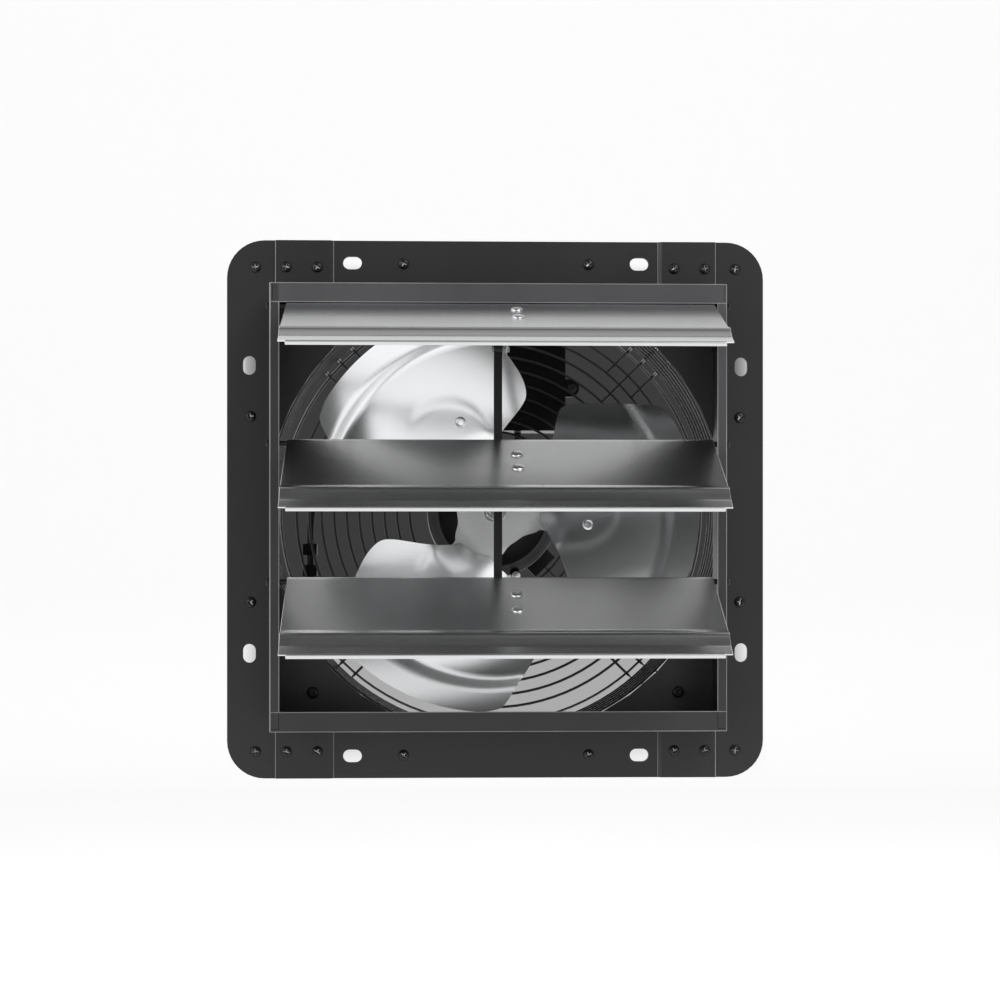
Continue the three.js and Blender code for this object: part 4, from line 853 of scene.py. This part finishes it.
# The nut's chamfered corners and its bore: depth and the radius that it may reach there.
NUT_SECTIONS = ((WASHER_FRONT, 6.7), (WASHER_FRONT - 0.5, 7.2), (NUT_FRONT + 1.0, 7.2),
                (NUT_FRONT + 0.3, 6.6), (NUT_FRONT, 6.2), (NUT_FRONT, 5.5), (NUT_FRONT + 0.6, 5.1))
SHAFT_R, SHAFT_BACK, SHAFT_PAST_NUT = 5, 83.7, 3.0
SHAFT_FRONT = NUT_FRONT - SHAFT_PAST_NUT
SHAFT_OUTLINE = ((0, SHAFT_BACK), (SHAFT_R, SHAFT_BACK), (SHAFT_R, SHAFT_FRONT + 0.7), (4.3, SHAFT_FRONT),
                 (1.3, SHAFT_FRONT), (0, SHAFT_FRONT + 0.9))
# The boss: its plate behind the spider and its sleeve, as radii and depths from its front.
BOSS_FRONT = HUB_FRONT + SPIDER_SHEET + GAP
BOSS_OUTLINE = ((5.3, 0), (21, 0), (21, 2.5), (20.5, 3), (11, 3), (10, 4), (10, 21.5), (9.5, 22), (5.3, 22),
                (5.3, 0))


def add_hub_nut():
    nut = Shape()
    nut.turned([(THREAD_R, WASHER_BACK), (WASHER_R, WASHER_BACK), (WASHER_R, WASHER_FRONT + WASHER_EDGE),
                (WASHER_R - WASHER_EDGE, WASHER_FRONT), (THREAD_R, WASHER_FRONT)])
    rows = []
    for y, reach in NUT_SECTIONS:
        row = []
        for k in range(NUT_COLUMNS):
            degrees = k * 360 / NUT_COLUMNS + NUT_TURN
            hexagon = NUT_HALF / math.cos(math.radians((degrees + 30) % 60 - 30))
            row.append(polar(min(hexagon, reach), y, math.radians(degrees)))
        rows.append(row)
    nut.grid(rows, closed_columns=True)
    piece("hub_nut_turned", nut, bright_steel, "fan", replaces=("hub_nut",))


def add_turned(name, profile, material, body, replaced, steps=ROUND_STEPS):
    """A piece turned about the fan's axis that replaces one CAD node."""
    shape = Shape()
    shape.turned(profile, steps=steps)
    piece(name, shape, material, body, replaces=(replaced,))


add_hub_nut()
add_turned("shaft_turned", SHAFT_OUTLINE, bright_steel, "fan", "motor_shaft", SLIM_STEPS)
add_turned("hub_boss_turned", [(radius, BOSS_FRONT + depth) for radius, depth in BOSS_OUTLINE],
           bright_steel, "fan", "hub_boss")


# Motor

# Outlines are radii and depths. The body has a bore, collar, face, stepped shoulder, seam and back.
MOTOR_OUTLINE = ((5.4, 80), (5.4, 56.4), (5.8, 56), (14.4, 56), (15.2, 56.5), (18.6, 59.7), (19.4, 60),
                 (41.0, 60), (41.6, 59.5), (42.6, 59.4), (43.2, 59.9), (43.5, 60.5), (47.0, 62.7),
                 (50.4, 67.2), (51, 68.4), (51, 83.6), (50.5, 84), (50.5, 84.6), (51, 85), (51, 101.2),
                 (50.2, 102), (28.6, 102))
# The two through bolts: their circle, and degrees from the right.
MOTOR_BOLT_CIRCLE_R, MOTOR_BOLTS = 52.5, (-70.0, 110.0)
MOTOR_BOLT_BOSS = ((0, 64), (3.6, 64), (4, 64.4), (4, 101.6), (3.6, 102), (0, 102))
MOTOR_BOLT_HEAD = ((3.4, 63.9), (3.4, 63.0), (2.9, 62.3), (1.8, 61.9), (0, 61.8))
MOTOR_CAP = ((26.5, 102.6), (28, 102.6), (28, 109.0), (27.6, 110.0), (24.9, 111.9), (24.0, 112.3), (8, 112.3),
             (7, 111.7), (0, 111.7))
# The screws in the junction box's lugs.
LUG_SCREWS = ((4.0, 0, 100.0), (65.0, 0, 100.0))
LUG_SCREW = ((3.6, 107.0), (3.6, 106.2), (3.0, 105.6), (1.5, 105.4), (1.0, 105.9), (0, 105.9))


def add_motor():
    body, bolts = Shape(), Shape()
    body.turned(MOTOR_OUTLINE, steps=LARGE_STEPS)
    for degrees in MOTOR_BOLTS:
        place = polar(MOTOR_BOLT_CIRCLE_R, 0, math.radians(degrees))
        body.turned(MOTOR_BOLT_BOSS, place, steps=SMALL_STEPS)
        bolts.turned(MOTOR_BOLT_HEAD, place, steps=SMALL_STEPS)
    piece("motor_body", body, motor_paint, "housing", replaces=("motor_housing",))
    piece("motor_screws", bolts, bright_steel, "housing")


def add_lug_screws():
    screws = Shape()
    for place in LUG_SCREWS:
        screws.turned(LUG_SCREW, place, steps=SMALL_STEPS)
    piece("junction_lug_screws", screws, screw_metal, "housing")


add_motor()
add_turned("motor_cap_turned", MOTOR_CAP, motor_paint, "housing", "motor_rear_cap",
           BROAD_STEPS)
add_lug_screws()


# Rivets of the louvres

# Places down the louvre, and outlines of both heads as radii and places forward of the pivot.
RIVET_X, RIVET_PLACES = 11.7, (26.2, 50.2)
RIVET_FRONT = ((4.5, 3.3), (4.5, 3.6), (4.2, 4.1), (3.5, 4.6), (2.6, 4.95), (1.6, 5.1), (0, 5.15))
RIVET_BACK = ((0, 0.2), (3.7, 0.2), (3.7, -0.3), (3.3, -0.6), (1.5, -0.6), (1.2, 0), (0, 0))


def add_louvre_rivets(name):
    shape = Shape()
    axis = Vector(louvre_place(name, 0, 0, 1)) - Vector(louvre_place(name, 0, 0, 0))
    for c in RIVET_PLACES:
        here = louvre_place(name, RIVET_X, c, 0)
        shape.turned(RIVET_FRONT, here, axis, HEAD_STEPS)
        shape.turned(RIVET_BACK, here, axis, SMALL_STEPS)
    piece(f"louvre_rivets_{name}", shape, rivet_metal, f"{name}_louvre",
          replaces=(f"rivet_{name}_1", f"rivet_{name}_2"))


for name in LOUVRES:
    add_louvre_rivets(name)


# Backdrop. Its sizes and places are in metres.

FLOOR_Z, WALL_Y, WALL_TOP_Z = -0.62, 4.2, 5.0
FLOOR_FRONT_Y, FLOOR_BACK_Y, BACKDROP_HALF = -5.0, 0.0, 6.0
COVE_R, COVE_STEPS = 0.5, 40
# Two areas of painted shade on the wall, one inside the other, show through the fan: where each begins and is
# full.
# Only the camera sees them.
SHADE_SIDES = (("X", (-0.57, -0.47)), ("X", (0.88, 0.79)))
SHADE_TOP, SHADE_DEPTH = ("Z", (0.80, 0.66)), ("Y", (3.0, 3.4))
DARK_SHADE_LOW, PALE_SHADE_LOW = ("Z", (-0.27, -0.10)), ("Z", (-0.60, -0.46))
PALE_SHADE_SHARE = 0.3
# The paper's colour and its own glow: white, in the pale painted shade alone, and where both areas of painted
# shade lie.
PAPER_AND_SHADE_COLOURS = ((0.0, grey(0.75)), (PALE_SHADE_SHARE, grey(0.42)), (1.0, grey(0.055)))
PAPER_AND_SHADE_GLOW = ((0.0, grey(0.55)), (PALE_SHADE_SHARE, grey(0.16)), (1.0, grey(0.013)))


def shade_mask(n, low):
    """One inside an area of painted shade on the far wall, fading to zero round it."""
    place = n.split("ShaderNodeTexCoord", "Object")
    mask = 1.0
    for axis, fade in (*SHADE_SIDES, low, SHADE_TOP, SHADE_DEPTH):
        mask = n.math("MULTIPLY", n.step(place[axis], fade), mask)
    return mask


def backdrop_with_painted_shade():
    material = bpy.data.materials.new("backdrop_with_painted_shade")
    material.use_nodes = True
    tree = material.node_tree
    n = Nodes(tree)
    tree.nodes.remove(tree.nodes["Principled BSDF"])
    rays = n.new("ShaderNodeLightPath").outputs
    # Painted shade: a pale area and a dark one inside it, seen by the camera alone.
    pale = n.math("MULTIPLY", shade_mask(n, PALE_SHADE_LOW), PALE_SHADE_SHARE)
    dark = n.math("MULTIPLY", shade_mask(n, DARK_SHADE_LOW), 1.0 - PALE_SHADE_SHARE)
    mask = n.math("MULTIPLY", n.math("ADD", pale, dark), rays["Is Camera Ray"])
    paper = n.new("ShaderNodeBsdfDiffuse")
    n.link(n.ramp(mask, PAPER_AND_SHADE_COLOURS), paper.inputs["Color"])
    glow = n.new("ShaderNodeEmission")
    seen = n.math("MAXIMUM", rays["Is Camera Ray"], rays["Is Glossy Ray"])
    seen = n.math("MAXIMUM", seen, rays["Is Transmission Ray"])
    n.link(n.math("MULTIPLY", seen, n.ramp(mask, PAPER_AND_SHADE_GLOW)), glow.inputs["Strength"])
    both = n.new("ShaderNodeAddShader")
    n.link(paper.outputs[0], both.inputs[0])
    n.link(glow.outputs[0], both.inputs[1])
    n.link(both.outputs[0], tree.nodes["Material Output"].inputs["Surface"])
    return material


def add_backdrop():
    """Floor and wall in one sheet, with a rounded cove between them."""
    rows = [(FLOOR_FRONT_Y, FLOOR_Z), (FLOOR_BACK_Y, FLOOR_Z)]
    for i in range(COVE_STEPS + 1):
        angle = math.pi / 2 * i / COVE_STEPS
        rows.append((WALL_Y - COVE_R + COVE_R * math.sin(angle), FLOOR_Z + COVE_R * (1 - math.cos(angle))))
    rows.append((WALL_Y, WALL_TOP_Z))
    vertices = [(x, y, z) for y, z in rows for x in (-BACKDROP_HALF, BACKDROP_HALF)]
    faces = [(2 * i, 2 * i + 1, 2 * i + 3, 2 * i + 2) for i in range(len(rows) - 1)]
    mesh = bpy.data.meshes.new("backdrop")
    mesh.from_pydata(vertices, [], faces)
    mesh.shade_smooth()
    mesh.materials.append(backdrop_with_painted_shade())
    backdrop = bpy.data.objects.new("backdrop", mesh)
    bpy.context.scene.collection.objects.link(backdrop)


add_backdrop()


# World: what polished metal sees all round, set by trial until its reflections came close to the photo's.

# Degrees up from the far horizon over the top to the near one, and brightness.
SKY = ((-180, 0.9), (-60, 0.9), (0, 1.0), (46, 1.0), (52, 0.6), (57, 0.08), (63, 0.08), (68, 0.55),
       (77, 0.55), (84, 0.08), (118, 0.06), (128, 0.45), (142, 0.40), (149, 0.14), (160, 0.14), (174, 0.9),
       (180, 0.95))
# The dark end of the studio behind the camera: sines of the angles at which it begins and is full.
DARK_END, DARK_LEVEL = (0.26, 0.14), 0.12
# White panel along the left side: the same kind of sines.
LEFT_PANEL = (-0.5, -0.62)
# What everything but mirrors and glass receives.
AMBIENT = 0.55


def add_world():
    world = bpy.data.worlds.new("studio")
    bpy.context.scene.world = world
    world.use_nodes = True
    n = Nodes(world.node_tree)
    rays = n.new("ShaderNodeLightPath").outputs
    way = n.split("ShaderNodeTexCoord", "Generated")
    turn = n.math("DIVIDE", n.math("ARCTAN2", way["Z"], way["Y"]), 2 * math.pi)
    sky = n.ramp(n.math("ADD", turn, 0.5), [((degrees + 180) / 360, grey(value)) for degrees, value in SKY])
    squares = n.math("ADD", n.math("MULTIPLY", way["X"], way["X"]), n.math("MULTIPLY", way["Z"], way["Z"]))
    behind_camera = n.step(n.math("POWER", squares, 0.5), DARK_END)
    dark = n.math("MULTIPLY", n.math("LESS_THAN", way["Y"], 0.0), behind_camera)
    sky = n.math("MULTIPLY", sky, n.span(dark, (1.0, DARK_LEVEL)))
    sky = n.math("MAXIMUM", sky, n.step(way["X"], LEFT_PANEL))
    level = n.new("ShaderNodeMix")
    level.inputs["A"].default_value = AMBIENT
    n.link(n.math("MAXIMUM", rays["Is Glossy Ray"], rays["Is Transmission Ray"]), level.inputs["Factor"])
    n.link(sky, level.inputs["B"])
    background = world.node_tree.nodes["Background"]
    background.inputs["Color"].default_value = (1, 1, 1, 1)
    n.link(n.math("MAXIMUM", level.outputs["Result"], rays["Is Camera Ray"]), background.inputs["Strength"])


add_world()


# Lamps: place, aim, size, power, and whether polished metal reflects them. The top one would draw bright
# steps on the louvres.

LAMPS = {
    "key": ((1.1, -1.6, 1.5), (0, 0, 0), (1.0, 1.0), 18.0, True),
    "fill": ((-1.7, -1.5, 0.6), (0, 0, 0), (1.2, 1.2), 8.0, True),
    "top": ((0.0, 0.6, 1.9), (0, -0.1, 0), (1.4, 0.8), 14.0, False),
}


def add_lamp(name, place, aim, size, power, shines):
    data = bpy.data.lights.new(name, "AREA")
    data.shape = "RECTANGLE"
    data.size, data.size_y = size
    data.energy = power
    obj = bpy.data.objects.new(name, data)
    bpy.context.scene.collection.objects.link(obj)
    obj.location = place
    direction = Vector(aim) - Vector(place)
    obj.rotation_euler = direction.to_track_quat("-Z", "Y").to_euler()
    obj.visible_glossy = shines


for name, values in LAMPS.items():
    add_lamp(name, *values)


# Camera: level, a little to the left and below, turned slightly to the right, and shifted to frame the photo.

CAMERA_PLACE, CAMERA_YAW = (-0.057, -1.55, -0.04), math.radians(1.9)
SENSOR, LENS = 36.0, 74.7
SHIFT = (0.0115, 0.0632)


def add_camera():
    data = bpy.data.cameras.new("camera")
    data.sensor_fit = "HORIZONTAL"
    data.sensor_width = SENSOR
    data.lens = LENS
    data.shift_x, data.shift_y = SHIFT
    camera = bpy.data.objects.new("camera", data)
    bpy.context.scene.collection.objects.link(camera)
    bpy.context.scene.camera = camera
    camera.location = CAMERA_PLACE
    camera.rotation_euler = (math.pi / 2, 0.0, -CAMERA_YAW)


add_camera()
bpy.context.scene.view_settings.view_transform = "Standard"
